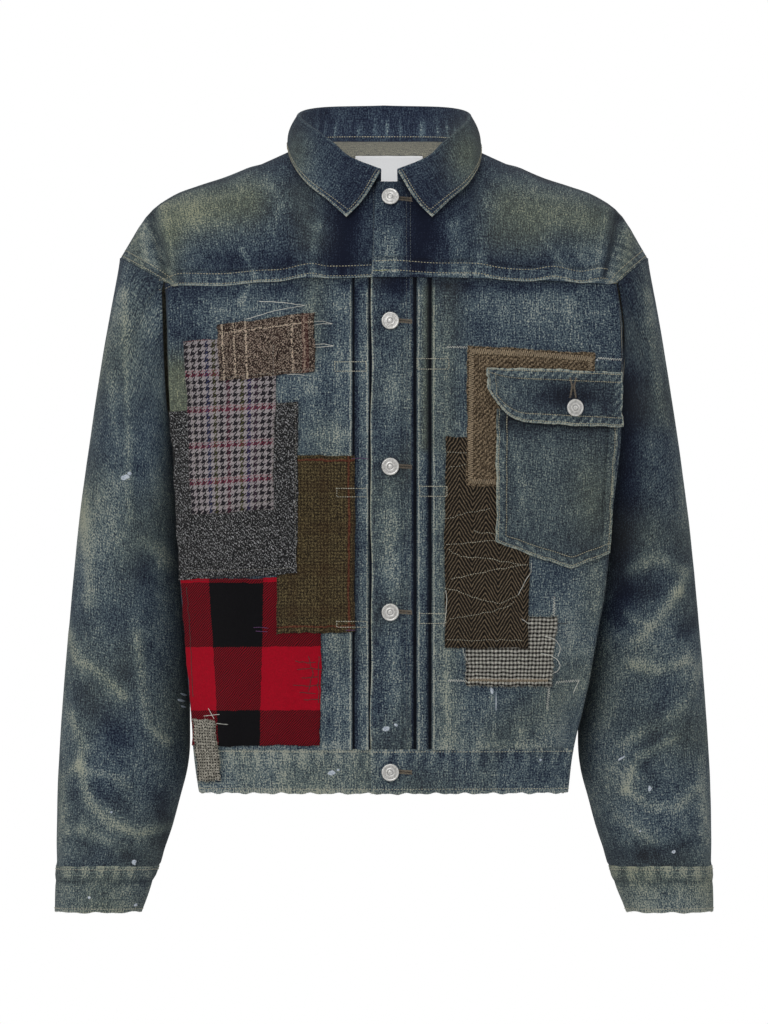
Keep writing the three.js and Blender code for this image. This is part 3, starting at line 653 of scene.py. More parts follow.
for title, value in (("Warp", warp), ("Weft", weft), ("Speck", speck), ("Twill", twill), ("Mottle", mottle),
                     ("Height", height)):
    grain_group.links.new(value, grain_out[title])
print("cloth_grain has", len(grain_group.nodes), "nodes")

# %% [markdown]
# ## Faded indigo
# Indigo sits on the outside of the yarn, so it rubs off where the cloth is worn: navy first, then a dusty
# blue, then grey-green and nearly cream. One number, wear, picks the colour along that path. It comes from
# the marks on the mesh, and the grain then breaks it up, because the high threads lose their dye first.
# Khaki adds the yellow of old starch and dirt, and shade is painted shade that darkens the depths of folds.

# %% Group: faded_indigo
INDIGO_PATH = [(0.0, "141a2c"), (0.2, "262f42"), (0.42, "42505e"), (0.62, "5f7078"), (0.8, "869394"),
               (1.0, "b4b8ae")]
KHAKI_TINT = tone("ebe7cb")

indigo_group, indigo_in, indigo_out = new_group(
    "faded_indigo", [("Base", "Float", 0.0), ("Grain", "Float", 1.0)],
    [("Color", "Color", None), ("Height", "Float", None), ("Worn", "Float", None)])
marks = {mark: node(indigo_group, "ShaderNodeAttribute",
                    attribute_name=mark).outputs["Fac"] for mark in MARKS}
grain = use_group(indigo_group, grain_group)
places = node(indigo_group, "ShaderNodeTexCoord").outputs["Object"]
cloudy = noise(indigo_group, places, 16.0, 3.0)


def around_zero(tree, value, gain):
    return calc(tree, "MULTIPLY", calc(tree, "SUBTRACT", value, 0.5), gain)


breakup = around_zero(indigo_group, grain["Speck"], 1.9)
for title, gain in (("Warp", 0.75), ("Weft", 0.42), ("Mottle", 0.45)):
    breakup = calc(indigo_group, "ADD", breakup, around_zero(indigo_group, grain[title], gain))
breakup = calc(indigo_group, "MULTIPLY_ADD", grain["Twill"], 0.035, breakup)
breakup = calc(indigo_group, "ADD", breakup, around_zero(indigo_group, cloudy, 0.34))
worn = calc(indigo_group, "ADD", marks["wear"], indigo_in["Base"])
depth = calc(indigo_group, "MULTIPLY_ADD", worn, 0.55, 0.55)
total = calc(indigo_group, "MULTIPLY_ADD", calc(indigo_group, "MULTIPLY", breakup, depth), indigo_in["Grain"],
             worn)
dyed = ramp(indigo_group, total, INDIGO_PATH)
yellowed = blend(indigo_group, calc(indigo_group, "MULTIPLY", marks["khaki"], 1.0, clamp=True), dyed,
                 KHAKI_TINT, "MULTIPLY")
lifted = blend(indigo_group, calc(indigo_group, "MULTIPLY", marks["khaki"], 0.20, clamp=True), yellowed,
               tone("8f9176"))
# Painted shade: the shade mark blends the colour towards a near-black blue.
shaded = blend(indigo_group, calc(indigo_group, "MULTIPLY", marks["shade"], 1.0, clamp=True), lifted,
               tone("0b0e18"))
indigo_group.links.new(shaded, indigo_out["Color"])
indigo_group.links.new(grain["Height"], indigo_out["Height"])
indigo_group.links.new(worn, indigo_out["Worn"])
print("indigo runs through", len(INDIGO_PATH), "tones")

# %% Denim materials
BUMP_STEP = 0.0005


def cloth_material(name, sheen, bump=0.5):
    """A matt cloth material and its shader; the caller links the colour and height."""
    material, tree, shader = new_material(name, {
        "Roughness": 0.92, "Specular IOR Level": 0.10, "Sheen Weight": sheen, "Sheen Roughness": 0.6})
    relief = node(tree, "ShaderNodeBump", {"Strength": bump, "Distance": BUMP_STEP})
    tree.links.new(relief.outputs[0], shader.inputs["Normal"])
    return material, tree, shader.inputs["Base Color"], relief.inputs["Height"]


def denim_material(name, base, grain_share=1.0):
    material, tree, color, height = cloth_material(name, 0.05)
    dyed = use_group(tree, indigo_group, {"Base": base, "Grain": grain_share})
    tree.links.new(dyed["Color"], color)
    tree.links.new(dyed["Height"], height)
    return material


denim = denim_material("washed_denim", 0.0)
band_denim = denim_material("washed_band", 0.03)
collar_denim = denim_material("washed_collar", 0.0, 0.9)

# %% [markdown]
# The back of denim shows mostly weft, which was never dyed: a pale beige with blue specks. It is seen inside
# the collar and at every open edge. The cut edges are paler still, because they rub the most.

# %% The reverse of the denim
denim_reverse, tree, color, height = cloth_material("denim_reverse", 0.1)
grain = use_group(tree, grain_group)
specks = calc(tree, "ADD", around_zero(tree, grain["Speck"], 1.3), around_zero(tree, grain["Weft"], 0.6))
tree.links.new(ramp(tree, calc(tree, "ADD", specks, 0.55),
                    [(0.1, "4a4f55"), (0.5, "7d7c72"), (0.9, "a5a292")]),
               color)
tree.links.new(grain["Height"], height)
DENIM_FACES = [denim, denim_reverse]
print("denim materials:", denim.name, band_denim.name, collar_denim.name, denim_reverse.name)

# %% [markdown]
# ## The fronts
# Each front is one panel from the yoke to the waistband. Beside the closure it has two knife pleats, folded
# towards the middle and held by small stitched boxes. A pleat is a sharp ridge with a sunken gutter on one
# side, darkened with painted shade, and a slow slope on the other, so the grid's columns stand closest there.

# %% Front panels
PLACKET_EDGE_X, PLACKET_SEAM_X, UNDERLAP_X = -12, 26, 16
OVERLAP = CLOTH + GAP
FOLDS = {1: (32.4, 46.8), -1: (15.4, 31.4)}
PLEAT_HEIGHT, PLEAT_RUN = 2.9, 14
GUTTER = 1.5
# Painted shade in each pleat's gutter, by side: how far inside the fold it lies and how wide it is.
SHADOW = {1: (2.9, 1.9), -1: (2.3, 1.3)}
SIDE_WORD = {1: "left", -1: "right"}


def pleat_height(side, out, z):
    """How far the pleats stand up, by the distance out from the middle."""
    out = out + 0.7 * np.sin(z / 47) + 0.4 * np.sin(z / 19)
    height = np.zeros(np.shape(out))
    for fold in FOLDS[side]:
        past = out - fold
        slope = PLEAT_HEIGHT * np.clip(1 - past / PLEAT_RUN, 0, 1) ** 1.4 * ease(0, 0.9, past + 0.9)
        gutter = -1.2 * hump(past + GUTTER, 1.1)
        height = np.where(past > -0.9, slope, height * (1 - ease(-PLEAT_RUN, -1, past))) + gutter
    return height


def pleat_fade_and_shade(side, out):
    """Pale along the tops of the folds, with a faded stripe beside the outer one, and painted shade in the
    gutter just inside each fold.
    """
    wear = np.zeros(np.shape(out))
    for fold in FOLDS[side]:
        wear += 0.50 * hump(out - fold - 0.6, 0.8) + 0.10 * hump(out - fold - 5, 3.0)
        # Painted shade: darker in the gutter just inside the fold.
        wear -= 0.26 * hump(out - fold + 4.5, 2.2)
    outer = FOLDS[side][1]
    return wear + 0.16 * hump(out - outer - 13, 3.5)


# Painted shade: dark bands in the pleats' gutters.
def gutter_shade(side, out):
    deep, wide = SHADOW[side]
    return sum(0.98 * np.exp(-((out - fold + deep) / wide) ** 4) for fold in FOLDS[side])


# Creases and fades seen from the front, in millimetres: a line of (x, z) places, a width and a strength.
FRONT_CREASES = [
    ([(-66, -100), (-70, -128), (-66, -160)], 6, 1.6), ([(-56, -100), (-60, -190)], 9, -1.2),
    ([(-128, -104), (-136, -126)], 6, 1.2), ([(-206, -120), (-196, -240), (-200, -330)], 12, -1.6),
    ([(-140, -330), (-150, -420), (-120, -540)], 16, 1.2), ([(-60, -548), (-64, -470)], 9, 1.4),
    ([(-100, -548), (-98, -500)], 9, 1.2), ([(-150, -548), (-146, -505)], 10, 1.4),
    ([(72, -102), (70, -150), (76, -210)], 7, 1.5), ([(150, -106), (164, -150), (176, -186)], 9, 1.3),
    ([(196, -110), (190, -170)], 10, -1.4), ([(62, -548), (66, -480), (58, -400)], 9, 1.3),
    ([(92, -548), (96, -512)], 8, 1.3), ([(130, -548), (126, -506)], 9, 1.2),
    ([(165, -548), (168, -500), (186, -430)], 12, -1.4), ([(186, -548), (196, -480), (206, -400)], 10, 1.4),
    ([(212, -260), (196, -340), (188, -420)], 14, 1.2),
]
FRONT_FADES = [
    ([(-66, -100), (-69, -130), (-66, -160), (-70, -210)], 8, 0.16), ([(-128, -104), (-137, -124)], 3, 0.24),
    ([(-60, -548), (-63, -500)], 7, 0.10), ([(-58, -420), (-46, -330), (-52, -250)], 14, 0.22),
    ([(-100, -548), (-99, -515)], 5, 0.10), ([(-200, -196), (-200, -232)], 17, 0.16),
    ([(-190, -118), (-180, -158)], 14, -0.14),
    ([(62, -112), (66, -180), (62, -250)], 12, -0.09), ([(-52, -440), (-50, -476)], 7, 0.2),
    ([(-206, -120), (-207, -330)], 3, 0.12), ([(66, -300), (56, -400), (64, -548)], 11, 0.12),
    ([(92, -548), (96, -516)], 4, 0.16), ([(130, -548), (127, -520)], 4, 0.14),
    ([(150, -548), (176, -470), (196, -390)], 16, 0.10), ([(206, -380), (196, -470), (188, -545)], 6, 0.14),
    ([(102, -500), (106, -540)], 2, 0.22), ([(100, -118), (150, -126)], 14, 0.10),
    ([(176, -124), (184, -160)], 7, 0.12), ([(-170, -112), (-100, -112)], 5, -0.12),
    ([(150, -548), (100, -546)], 4, 0.18), ([(-60, -547), (-40, -546)], 4, 0.16),
    ([(60, -107), (180, -108)], 5, -0.13),
]
FRONT_KHAKI = [([(-198, -196), (-198, -226)], 22, 1.3), ([(-66, -110), (-68, -160)], 14, 0.30),
               ([(-56, -250), (-40, -450)], 22, 0.22), ([(42, -110), (40, -260)], 6, 0.7),
               ([(62, -110), (60, -260)], 14, 0.35),
               ([(60, -300), (60, -540)], 14, 0.3), ([(110, -545), (190, -480)], 26, 0.35),
               ([(196, -200), (206, -420)], 18, 0.3)]


def front_marks(side, x, z, out):
    wear = 0.47 + strokes_at(x, z, FRONT_FADES) + 0.06 * unevenness(x, z, 11)
    wear = wear + pleat_fade_and_shade(side, out) * ease(0, 8, YOKE_Z - 4 - z)
    wear = wear - 0.12 * hump(z - YOKE_Z + 8, 9) + 0.05 * hump(z - BAND_TOP_Z, 9)
    edge = edge_x(side, z)
    wear = wear - 0.10 * ease(edge - 14, edge + 2, np.abs(x))
    khaki = strokes_at(x, z, FRONT_KHAKI)
    # Painted shade: the pleats' gutters, and a painted shadow just under the yoke's edge.
    shade = gutter_shade(side, out) + 0.35 * hump(z - YOKE_Z + 2, 4.5)
    return {"wear": wear, "khaki": khaki, "shade": shade}


def front_lift(side, x, z, out):
    """How far a front stands off the plain form: its pleats, creases and slow waves."""
    top = ease(YOKE_Z - 1, YOKE_Z - 10, z)
    lift = pleat_height(side, out, z) * mix(0.45, 1, top) + strokes_at(x, z, FRONT_CREASES) * top
    return lift + 0.9 * unevenness(x, z, 5) * top * ease(BAND_TOP_Z, BAND_TOP_Z + 25, z) * ease(60, 90, out)


def front_panel(side):
    start = PLACKET_SEAM_X + GAP if side > 0 else -UNDERLAP_X
    inner = np.concatenate([[start, start + 2],
                            *[fold + np.array([-4, -2.8, -2.1, -1.5, -0.9, -0.45, 0, 0.8, 2, 4, 7, 10])
                                                  for fold in FOLDS[side]]])
    inner = np.unique(inner[inner >= start])
    outs = np.concatenate([inner, np.arange(inner[-1] + 3, 168, 3.2)])
    wide = np.linspace(0, 1, 22)[1:]
    wrap = np.linspace(0, 1, 14)[1:]
    rows = np.concatenate([np.arange(BAND_TOP_Z + GAP, YOKE_Z - 6, 3.3),
                           [YOKE_Z - 5, YOKE_Z - 3, YOKE_Z - SEAM]])
    z = np.broadcast_to(rows[:, None], (len(rows), len(outs) + len(wide) + len(wrap)))
    edge = edge_x(side, rows)[:, None]
    along = np.concatenate([outs[None, :] / edge, mix(outs[-1] / edge, 1, wide[None, :]),
                            mix(1, front_end(rows)[:, None], wrap[None, :])], 1)
    seam_drop = yoke_seam_z(np.minimum(along, 1) * edge) - YOKE_Z
    place_z = z + seam_drop * ease(YOKE_Z - 80, YOKE_Z, z)
    grid = body(side, place_z, np.maximum(along, 0))
    under = body(side, place_z, 0 * along)
    under[..., 0] = side * along * edge
    grid = np.where((along < 0)[..., None], under, grid)
    x, out = grid[..., 0], np.where(along <= 1, side * grid[..., 0], 1e3)
    grid = pushed(grid, front_lift(side, x, place_z, out), handed=side)
    return shell("front_panel_" + SIDE_WORD[side], grid, CLOTH, DENIM_FACES, side,
                 marks=front_marks(side, x, place_z, out))


pieces = {}
for side in (1, -1):
    panel = front_panel(side)
    pieces["front_panel_" + SIDE_WORD[side]] = panel
    print(panel.name, len(panel.data.polygons), "faces")

# %% [markdown]
# ## The yokes
# The front yokes wrap over the dropped shoulders to the sleeves. Each ends in a doubled edge, felled over the
# panel below, that has shrunk in the wash and ripples. It hangs a few millimetres over the panel and casts a
# thin shadow, so the yoke's grid runs past the seam, down a given line, and stands off the panel there.

# %% Yokes
YOKE_EDGE = {
    1: track([(-16, -95), (10, -94), (48, -96.5), (90, -97), (112, -101), (140, -102.5), (163, -99.5),
              (188, -104), (208, -101), (224, -104)]),
    -1: track([(-16, -97), (12, -98.5), (54, -99.5), (70, -97), (98, -102.5), (120, -103.5), (154, -106.5),
               (196, -106), (203, -108), (212, -112)]),
}
LIP_RISE = 1.5
LIP_SHARES = (1.0, 0.93, 0.8, 0.55, 0.28)
SHARE_COLUMNS = 96
YOKE_LIFT = 0.8

YOKE_CREASES = [
    ([(-225, -32), (-218, -62), (-208, -96)], 5, -4.0), ([(-214, -30), (-206, -64), (-200, -92)], 8, 2.2),
    ([(224, -42), (222, -70), (216, -96)], 5, -4.0), ([(213, -38), (208, -66), (204, -92)], 8, 2.2),
    ([(-62, -60), (-66, -84), (-64, -100)], 5, 1.7), ([(-52, -52), (-56, -94)], 6, -1.6),
    ([(-136, -70), (-126, -98)], 7, 1.4), ([(-160, -76), (-150, -98)], 8, -1.2),
    ([(-96, -20), (-118, -50)], 10, 1.2), ([(66, -60), (72, -84), (74, -100)], 6, 1.6),
    ([(88, -66), (82, -98)], 6, -1.3), ([(126, -74), (122, -98)], 6, 1.2),
    ([(160, -66), (154, -100)], 8, 1.4),
    ([(-235, -38), (-232, -74)], 6, 1.5), ([(236, -46), (234, -76)], 6, 1.5),
    ([(-180, -30), (-150, -60)], 16, 1.0), ([(180, -30), (150, -60)], 16, 1.0),
]
YOKE_FADES = [
    ([(-212, -26), (-206, -60), (-201, -92)], 3.5, 0.24), ([(212, -34), (207, -66), (203, -92)], 3.5, 0.22),
    ([(-206, -34), (-180, -44)], 22, 0.26), ([(-186, -30), (-120, -18)], 20, 0.22),
    ([(-200, -55), (-196, -90)], 9, 0.08),
    ([(190, -36), (120, -24)], 20, 0.22), ([(196, -60), (180, -80)], 12, 0.08),
    ([(-110, -10), (-96, -26), (-108, -54)], 5, 0.16), ([(-64, -52), (-68, -80), (-64, -98)], 6, 0.20),
    ([(-60, -20), (-64, -50)], 7, 0.10), ([(-122, -98), (-136, -72)], 2.2, 0.26),
    ([(66, -50), (70, -80), (76, -98)], 7, 0.18), ([(98, -24), (90, -60)], 9, 0.10),
    ([(-150, -84), (-90, -86)], 11, -0.20), ([(-40, -96), (-34, -40)], 10, -0.22),
    ([(30, -96), (34, -30), (40, -60)], 12, -0.26), ([(110, -86), (150, -86)], 9, -0.15),
    ([(-82, 6), (-84, -20)], 5, -0.10), ([(84, 0), (86, -26)], 5, -0.10),
    ([(-232, -40), (-228, -80)], 4, 0.18), ([(234, -46), (232, -80)], 4, 0.16),
    ([(180, -98), (150, -62)], 3, 0.14), ([(196, -98), (186, -70)], 3, 0.10),
]
YOKE_KHAKI = [([(-200, -40), (-130, -26)], 24, 0.9), ([(-204, -62), (-206, -100)], 12, 0.5),
              ([(200, -44), (120, -30)], 24, 0.75), ([(140, -60), (110, -60)], 18, 0.4),
              ([(-80, -20), (-70, -60)], 18, 0.35), ([(236, -60), (230, -96)], 10, 0.5),
              ([(-240, -60), (-232, -96)], 10, 0.5)]


def band_pucker(along, pitch, seed):
    """The twisted look of a felled seam that shrank: short slanting light and dark bars."""
    wobble = 0.35 * np.sin(along / 31 + seed) + 0.25 * np.sin(along / 13.7 + 2 * seed)
    return np.sin(2 * math.pi * along / pitch + 2.2 * wobble + seed)


def closure_lift(x):
    return OVERLAP * (1 - ease(UNDERLAP_X + 1, UNDERLAP_X + 8, x))


def front_yoke(side):
    edge = float(edge_x(side, YOKE_Z))
    start = (PLACKET_EDGE_X if side > 0 else -UNDERLAP_X) / edge
    shares = np.concatenate([np.linspace(start, 0.13, 16), np.linspace(0.13, 1, SHARE_COLUMNS)[1:]])
    rises = np.concatenate([[0, 0.012, 0.03], np.linspace(0.055, EDGE_UP, 44)])
    share, up = np.meshgrid(shares, rises)
    grid = np.where((share >= 0)[..., None], yoke_place(side, np.abs(share), up),
                    yoke_place(-side, np.abs(share), up))
    # The lip: rows below the seam, along the fronts, down to the rippled edge.
    out = side * grid[0, :, 0]
    lip = []
    for lip_share in LIP_SHARES:
        seam = grid[0].copy()
        drop = np.minimum(YOKE_EDGE[side](out) - seam[:, 2], -1.5) * ease(1.0, 0.96, shares)
        z = seam[:, 2] + drop * lip_share
        low = front(side * out, z)
        seam[:, 1] = np.where(shares < 0.97, low[:, 1], seam[:, 1])
        seam[:, 2] = z
        lip.append(seam)
    grid = np.concatenate([np.stack(lip), grid])
    lip_up = np.concatenate([-np.array(LIP_SHARES), rises])
    level = np.broadcast_to(lip_up[:, None], grid.shape[:2])
    across = np.broadcast_to(shares, level.shape)
    x, z = grid[..., 0], grid[..., 2]
    out = side * x
    above = z - YOKE_EDGE[side](out)
    band = ease(13.5, 11, above)
    pucker = band_pucker(out, 11, 1.0 + side)
    lift = YOKE_LIFT + (closure_lift(out) if side > 0 else 0)
    lift = lift + LIP_RISE * band * ease(0.99, 0.93, across)
    lift = lift + 0.22 * band * pucker
    calm = ease(EDGE_UP, EDGE_UP - 0.1, level) * ease(1.0, 0.97, across)
    lift = lift + calm * (strokes_at(x, z, YOKE_CREASES) + 0.7 * unevenness(x, z, 7))
    sleeve_band = ease(0.945, 0.955, across)
    lift = lift + 0.5 * sleeve_band
    wear = 0.36 + strokes_at(x, z, YOKE_FADES) + 0.06 * unevenness(x, z, 3)
    wear = wear + band * (0.06 + 0.07 * pucker) + 0.46 * hump(above, 0.9)
    wear = wear + sleeve_band * (0.18 + 0.12 * band_pucker(z + side * grid[..., 1], 12, 0.4))
    wear = wear - 0.16 * ease(0.9, EDGE_UP, level) * ease(60, 110, np.abs(x))
    wear = wear - 0.22 * hump(out - 38, 28) * ease(-106, -88, z)
    if side > 0:
        wear = wear + 0.34 * hump(out - PLACKET_EDGE_X, 1.5)
        wear = wear + 0.2 * hump(out - 6, 16) * ease(-40, -64, z) * ease(-100, -84, z)
    # Painted shade: a dark line along the top of the felled band, and down the sunken groove by the sleeve.
    shade = 0.5 * hump(above - 13.5, 1.3) * ease(0.97, 0.9, across)
    shade = shade + 0.5 * stroke_at(x, z, [(side * 226, -36), (side * 219, -66), (side * 210, -98)], 3)
    grid = pushed(grid, lift, handed=side)
    piece = shell("front_yoke_" + SIDE_WORD[side], grid, CLOTH, DENIM_FACES, side,
                  marks={"wear": wear, "khaki": strokes_at(x, z, YOKE_KHAKI), "shade": shade})
    return piece, grid


yoke_grids = {}
for side in (1, -1):
    pieces["front_yoke_" + SIDE_WORD[side]], yoke_grids[side] = front_yoke(side)
print("yoke edges ripple by", round(float(np.ptp(YOKE_EDGE[1](np.arange(0, 220))))), "mm")

# %% [markdown]
# ## The back
# The back is one plain piece from the waistband over the shoulders to the neck. Its wear is like the front's:
# pale across the shoulder blades and down the sides, with a few soft folds where the arms pull on it.

# %% Back
BACK_CREASES = [
    ([(-150, -190), (-110, -330), (-96, -450)], 16, 2.4), ([(150, -190), (110, -330), (96, -450)], 16, 2.4),
    ([(-190, -240), (-150, -400), (-140, -520)], 14, -2.2),
    ([(190, -240), (150, -400), (140, -520)], 14, -2.2),
    ([(-40, -548), (-46, -480)], 10, 1.6), ([(44, -548), (40, -470)], 10, 1.6),
    ([(0, -548), (4, -500)], 12, -1.4),
    ([(-90, -548), (-94, -490)], 9, 1.4), ([(92, -548), (98, -486)], 9, 1.4),
    ([(-120, -110), (-60, -150), (60, -150), (120, -110)], 22, 1.6),
]
BACK_FADES = [
    ([(-150, -190), (-110, -330), (-96, -450)], 12, 0.16), ([(150, -190), (110, -330), (96, -450)], 12, 0.16),
    ([(-140, -60), (-60, -110), (60, -110), (140, -60)], 40, 0.16), ([(-40, -548), (-46, -490)], 6, 0.12),
    ([(44, -548), (40, -480)], 6, 0.12), ([(-180, -548), (180, -548)], 6, 0.10),
    ([(0, -200), (0, -500)], 60, 0.06),
    ([(-205, -230), (-190, -520)], 14, 0.10), ([(205, -230), (190, -520)], 14, 0.10),
]


TUCK = ((0.5, 1.7), (4.0, 2.3))


def back_panel():
    half = np.concatenate([np.linspace(0, NECK_SHARE, 26), np.linspace(NECK_SHARE, 1, 34)[1:]])
    across = np.concatenate([-half[:0:-1], half])
    low = np.linspace(1, 0, 104)[:-1]
    ups = np.concatenate([np.linspace(0, 0.86, 34), np.linspace(0.88, EDGE_UP, 8)])
    z = mix(YOKE_Z, BAND_TOP_Z + GAP, low)
    share, zz = np.meshgrid(across, z)
    lower = two_sided(body, share, zz, mix(3, back_end(zz), np.abs(share)))
    share, up = np.meshgrid(across, ups)
    upper = two_sided(upper_back_place, share, np.abs(share), up)
    grid = np.concatenate([lower, upper])
    x, z = grid[..., 0], grid[..., 2]
    shares = np.broadcast_to(across, x.shape)
    level = np.concatenate([-low, ups])[:, None]
    calm = ease(1, 0.94, np.abs(shares)) * ease(EDGE_UP, 0.8, level) * ease(-1, -0.96, level)
    lift = calm * (strokes_at(x, z, BACK_CREASES) + 1.0 * unevenness(x, z, 21))
    grid = pushed(grid, lift, handed=-1)
    wear = 0.42 + strokes_at(x, z, BACK_FADES) + 0.07 * unevenness(x, z, 33)
    wear = wear - 0.14 * ease(0.88, EDGE_UP, level) * ease(60, 110, np.abs(x))
    khaki = 0.6 * spot_at(x, z, (170, -60), (60, 60)) + 0.6 * spot_at(x, z, (-170, -60), (60, 60))
    khaki = khaki + 0.3 * spot_at(x, z, (0, -480), (120, 60))
    # The seam allowance: past the shoulder seam the cloth dips and runs on under the yoke, so no light shows.
    tucked = 0.06 + 0.94 * ease(NECK_SHARE + 0.01, NECK_SHARE + 0.05, np.abs(across))
    under = [grid[-1] + np.stack([0 * tucked, -reach * tucked, -dip * tucked], -1) for reach, dip in TUCK]
    grid = np.concatenate([grid, np.stack(under)])
    wear, khaki = [np.concatenate([mark, mark[-1:], mark[-1:]]) for mark in (wear, khaki)]
    return shell("back_panel", grid, CLOTH, DENIM_FACES, -1,
                 marks={"wear": wear, "khaki": khaki, "shade": 0 * wear})


pieces["back_panel"] = back_panel()
print("back:", len(pieces["back_panel"].data.polygons), "faces")

# %% [markdown]
# ## The sleeves
# A sleeve is a tube from the armhole to the cuff, so its grid goes round and closes on itself. The elbow and
# the forearm have crumpled into soft waves that the wash then bleached, like the whiskers of worn denim.
# Their colour is partly that fading and partly painted light and shade of the folds: paler on the waves,
# darker in the sinks. The waves are drawn as seen from the front, once for each sleeve, with plainer ones at
# the back.
# The inner side of each sleeve, by the body, is darkened with painted shade.

# %% Sleeves
# Places are distances out from the middle, and heights.
SLEEVE_WAVES = {
    -1: [
        ([(296, -300), (286, -345), (282, -376), (284, -410)], 7, 0.24),
        ([(262, -190), (258, -250)], 5, 0.10),
        ([(250, -110), (247, -200), (244, -330)], 4, 0.16),
        ([(230, -352), (216, -362), (210, -372)], 9, 0.20),
        ([(304, -440), (296, -466), (276, -474), (262, -488), (250, -500)], 5, 0.24),
        ([(238, -440), (232, -500), (226, -530), (208, -545)], 5, 0.20),
        ([(300, -520), (288, -548), (292, -566), (300, -572)], 5, 0.20),
        ([(292, -566), (284, -600), (262, -622), (238, -632), (208, -626)], 5, 0.26),
        ([(290, -572), (262, -576), (246, -588)], 4, 0.16), ([(310, -580), (306, -630)], 6, 0.12),
        ([(252, -648), (290, -628)], 6, 0.12), ([(270, -300), (262, -400)], 20, 0.10),
    ],
    1: [
        ([(236, -380), (262, -368), (290, -382), (282, -400)], 7, 0.24),
        ([(282, -400), (262, -430), (244, -446)], 6, 0.22),
        ([(232, -420), (254, -432)], 5, 0.18), ([(238, -470), (262, -476), (292, -466)], 5, 0.22),
        ([(228, -545), (262, -528), (288, -512)], 6, 0.14),
        ([(232, -590), (244, -560), (280, -540)], 5, 0.20),
        ([(232, -590), (256, -606), (280, -608), (300, -590)], 5, 0.18),
        ([(226, -616), (256, -640)], 6, 0.16),
        ([(304, -560), (308, -640)], 5, 0.14), ([(296, -500), (302, -470)], 5, 0.12),
        ([(252, -110), (262, -190), (270, -240)], 5, 0.12), ([(286, -250), (296, -330)], 8, 0.10),
    ],
}
SLEEVE_SINKS = {
    -1: [([(290, -500), (250, -540)], 12, -0.16), ([(296, -640), (240, -655)], 8, -0.14),
         ([(276, -590), (246, -612)], 7, -0.10), ([(258, -420), (244, -470)], 14, -0.10),
         ([(215, -600), (208, -640)], 10, -0.2), ([(240, -280), (226, -420)], 10, -0.10)],
    1: [([(262, -400), (230, -400)], 8, -0.12), ([(270, -500), (250, -560)], 10, -0.12),
        ([(288, -440), (300, -430)], 8, -0.16), ([(238, -562), (262, -584)], 7, -0.12),
        ([(262, -650), (220, -652)], 8, -0.12), ([(236, -200), (226, -420)], 14, -0.24),
        ([(300, -640), (250, -655)], 6, -0.10)],
}
WAVE_LIFT = 9.0
SLEEVE_BASE = {1: 0.36, -1: 0.45}
FOREARM = {1: 0.13, -1: 0.02}
# How strongly the waves and sinks colour the cloth: partly whisker fading, partly painted light and shade.
WAVE_FADE_AND_PAINTED_LIGHT = 1.35


def sleeve(side):
    angles = np.linspace(-math.pi, math.pi, 105)[:-1]
    downs = np.concatenate([np.linspace(0, 0.06, 8)[:-1], np.linspace(0.06, 1, 146)])
    angle, down = np.meshgrid(angles, downs)
    grid = sleeve_place(side, angle, down)
    x, z = side * grid[..., 0], grid[..., 2]
    to_front = ease(-0.25, 0.35, np.sin(angle))
    waves = strokes_at(x, z, SLEEVE_WAVES[side])
    sinks = strokes_at(x, z, SLEEVE_SINKS[side])
    behind = strokes_at(x, z + 26, SLEEVE_WAVES[-side])
    calm = ease(0.03, 0.14, down) * ease(1, 0.975, down)
    rim = 1 - 0.75 * np.abs(np.cos(angle)) ** 3
    lift = calm * rim * WAVE_LIFT * (to_front * (waves + 0.6 * sinks) + (1 - to_front) * 0.6 * behind)
    lift = lift + calm * 0.9 * unevenness(x * 0.9 + 31 * side, z, 40 + side) * rim
    gathers = np.sin(x / 4.2 + 2 * np.sin(x / 17)) * 0.9 * ease(SLEEVE_END_Z + 26, SLEEVE_END_Z + 2, z)
    lift = lift + gathers * ease(1, 0.998, down)
    grid = pushed(grid, lift, True, side)
    wear = SLEEVE_BASE[side] + FOREARM[side] * ease(-380, -470, z)
    # Partly real fading, partly painted light and shade of the folds: paler on the waves, darker in the
    # sinks.
    wear = wear + WAVE_FADE_AND_PAINTED_LIGHT * (to_front * (waves + sinks) + (1 - to_front) * 0.6 * behind)
    wear = wear + 0.08 * unevenness(x, z, 50 + side) + 0.05 * np.sin(z / 23 + x / 30)
    wear = wear + 0.10 * hump(angle, 0.5) + 0.16 * hump(np.abs(angle) - 0.25, 0.10) * ease(0.3, 0, down)
    wear = wear - 0.10 * hump(down, 0.05) * to_front - 0.1 * hump(down - 1, 0.03)
    khaki = 0.15 + 0.25 * unevenness(x, z, 60 + side) + 0.2 * to_front * waves / 0.3
    # Painted shade on the inner side of each sleeve, turned to the body, and on the left sleeve beside the
    # chest.
    shade = 0.34 * ease(0.45, 1.0, -np.cos(angle)) * ease(0.95, 0.6, down)
    shade = shade + (0.22 if side > 0 else 0.0) * spot_at(x, z, (232, -300), (34, 190)) * to_front
    return shell("sleeve_" + SIDE_WORD[side], grid, CLOTH, DENIM_FACES, side, True,
                 {"wear": wear, "khaki": np.clip(khaki, 0, 1), "shade": shade})


# %% Cuffs
CUFF_LIFT = 0.6


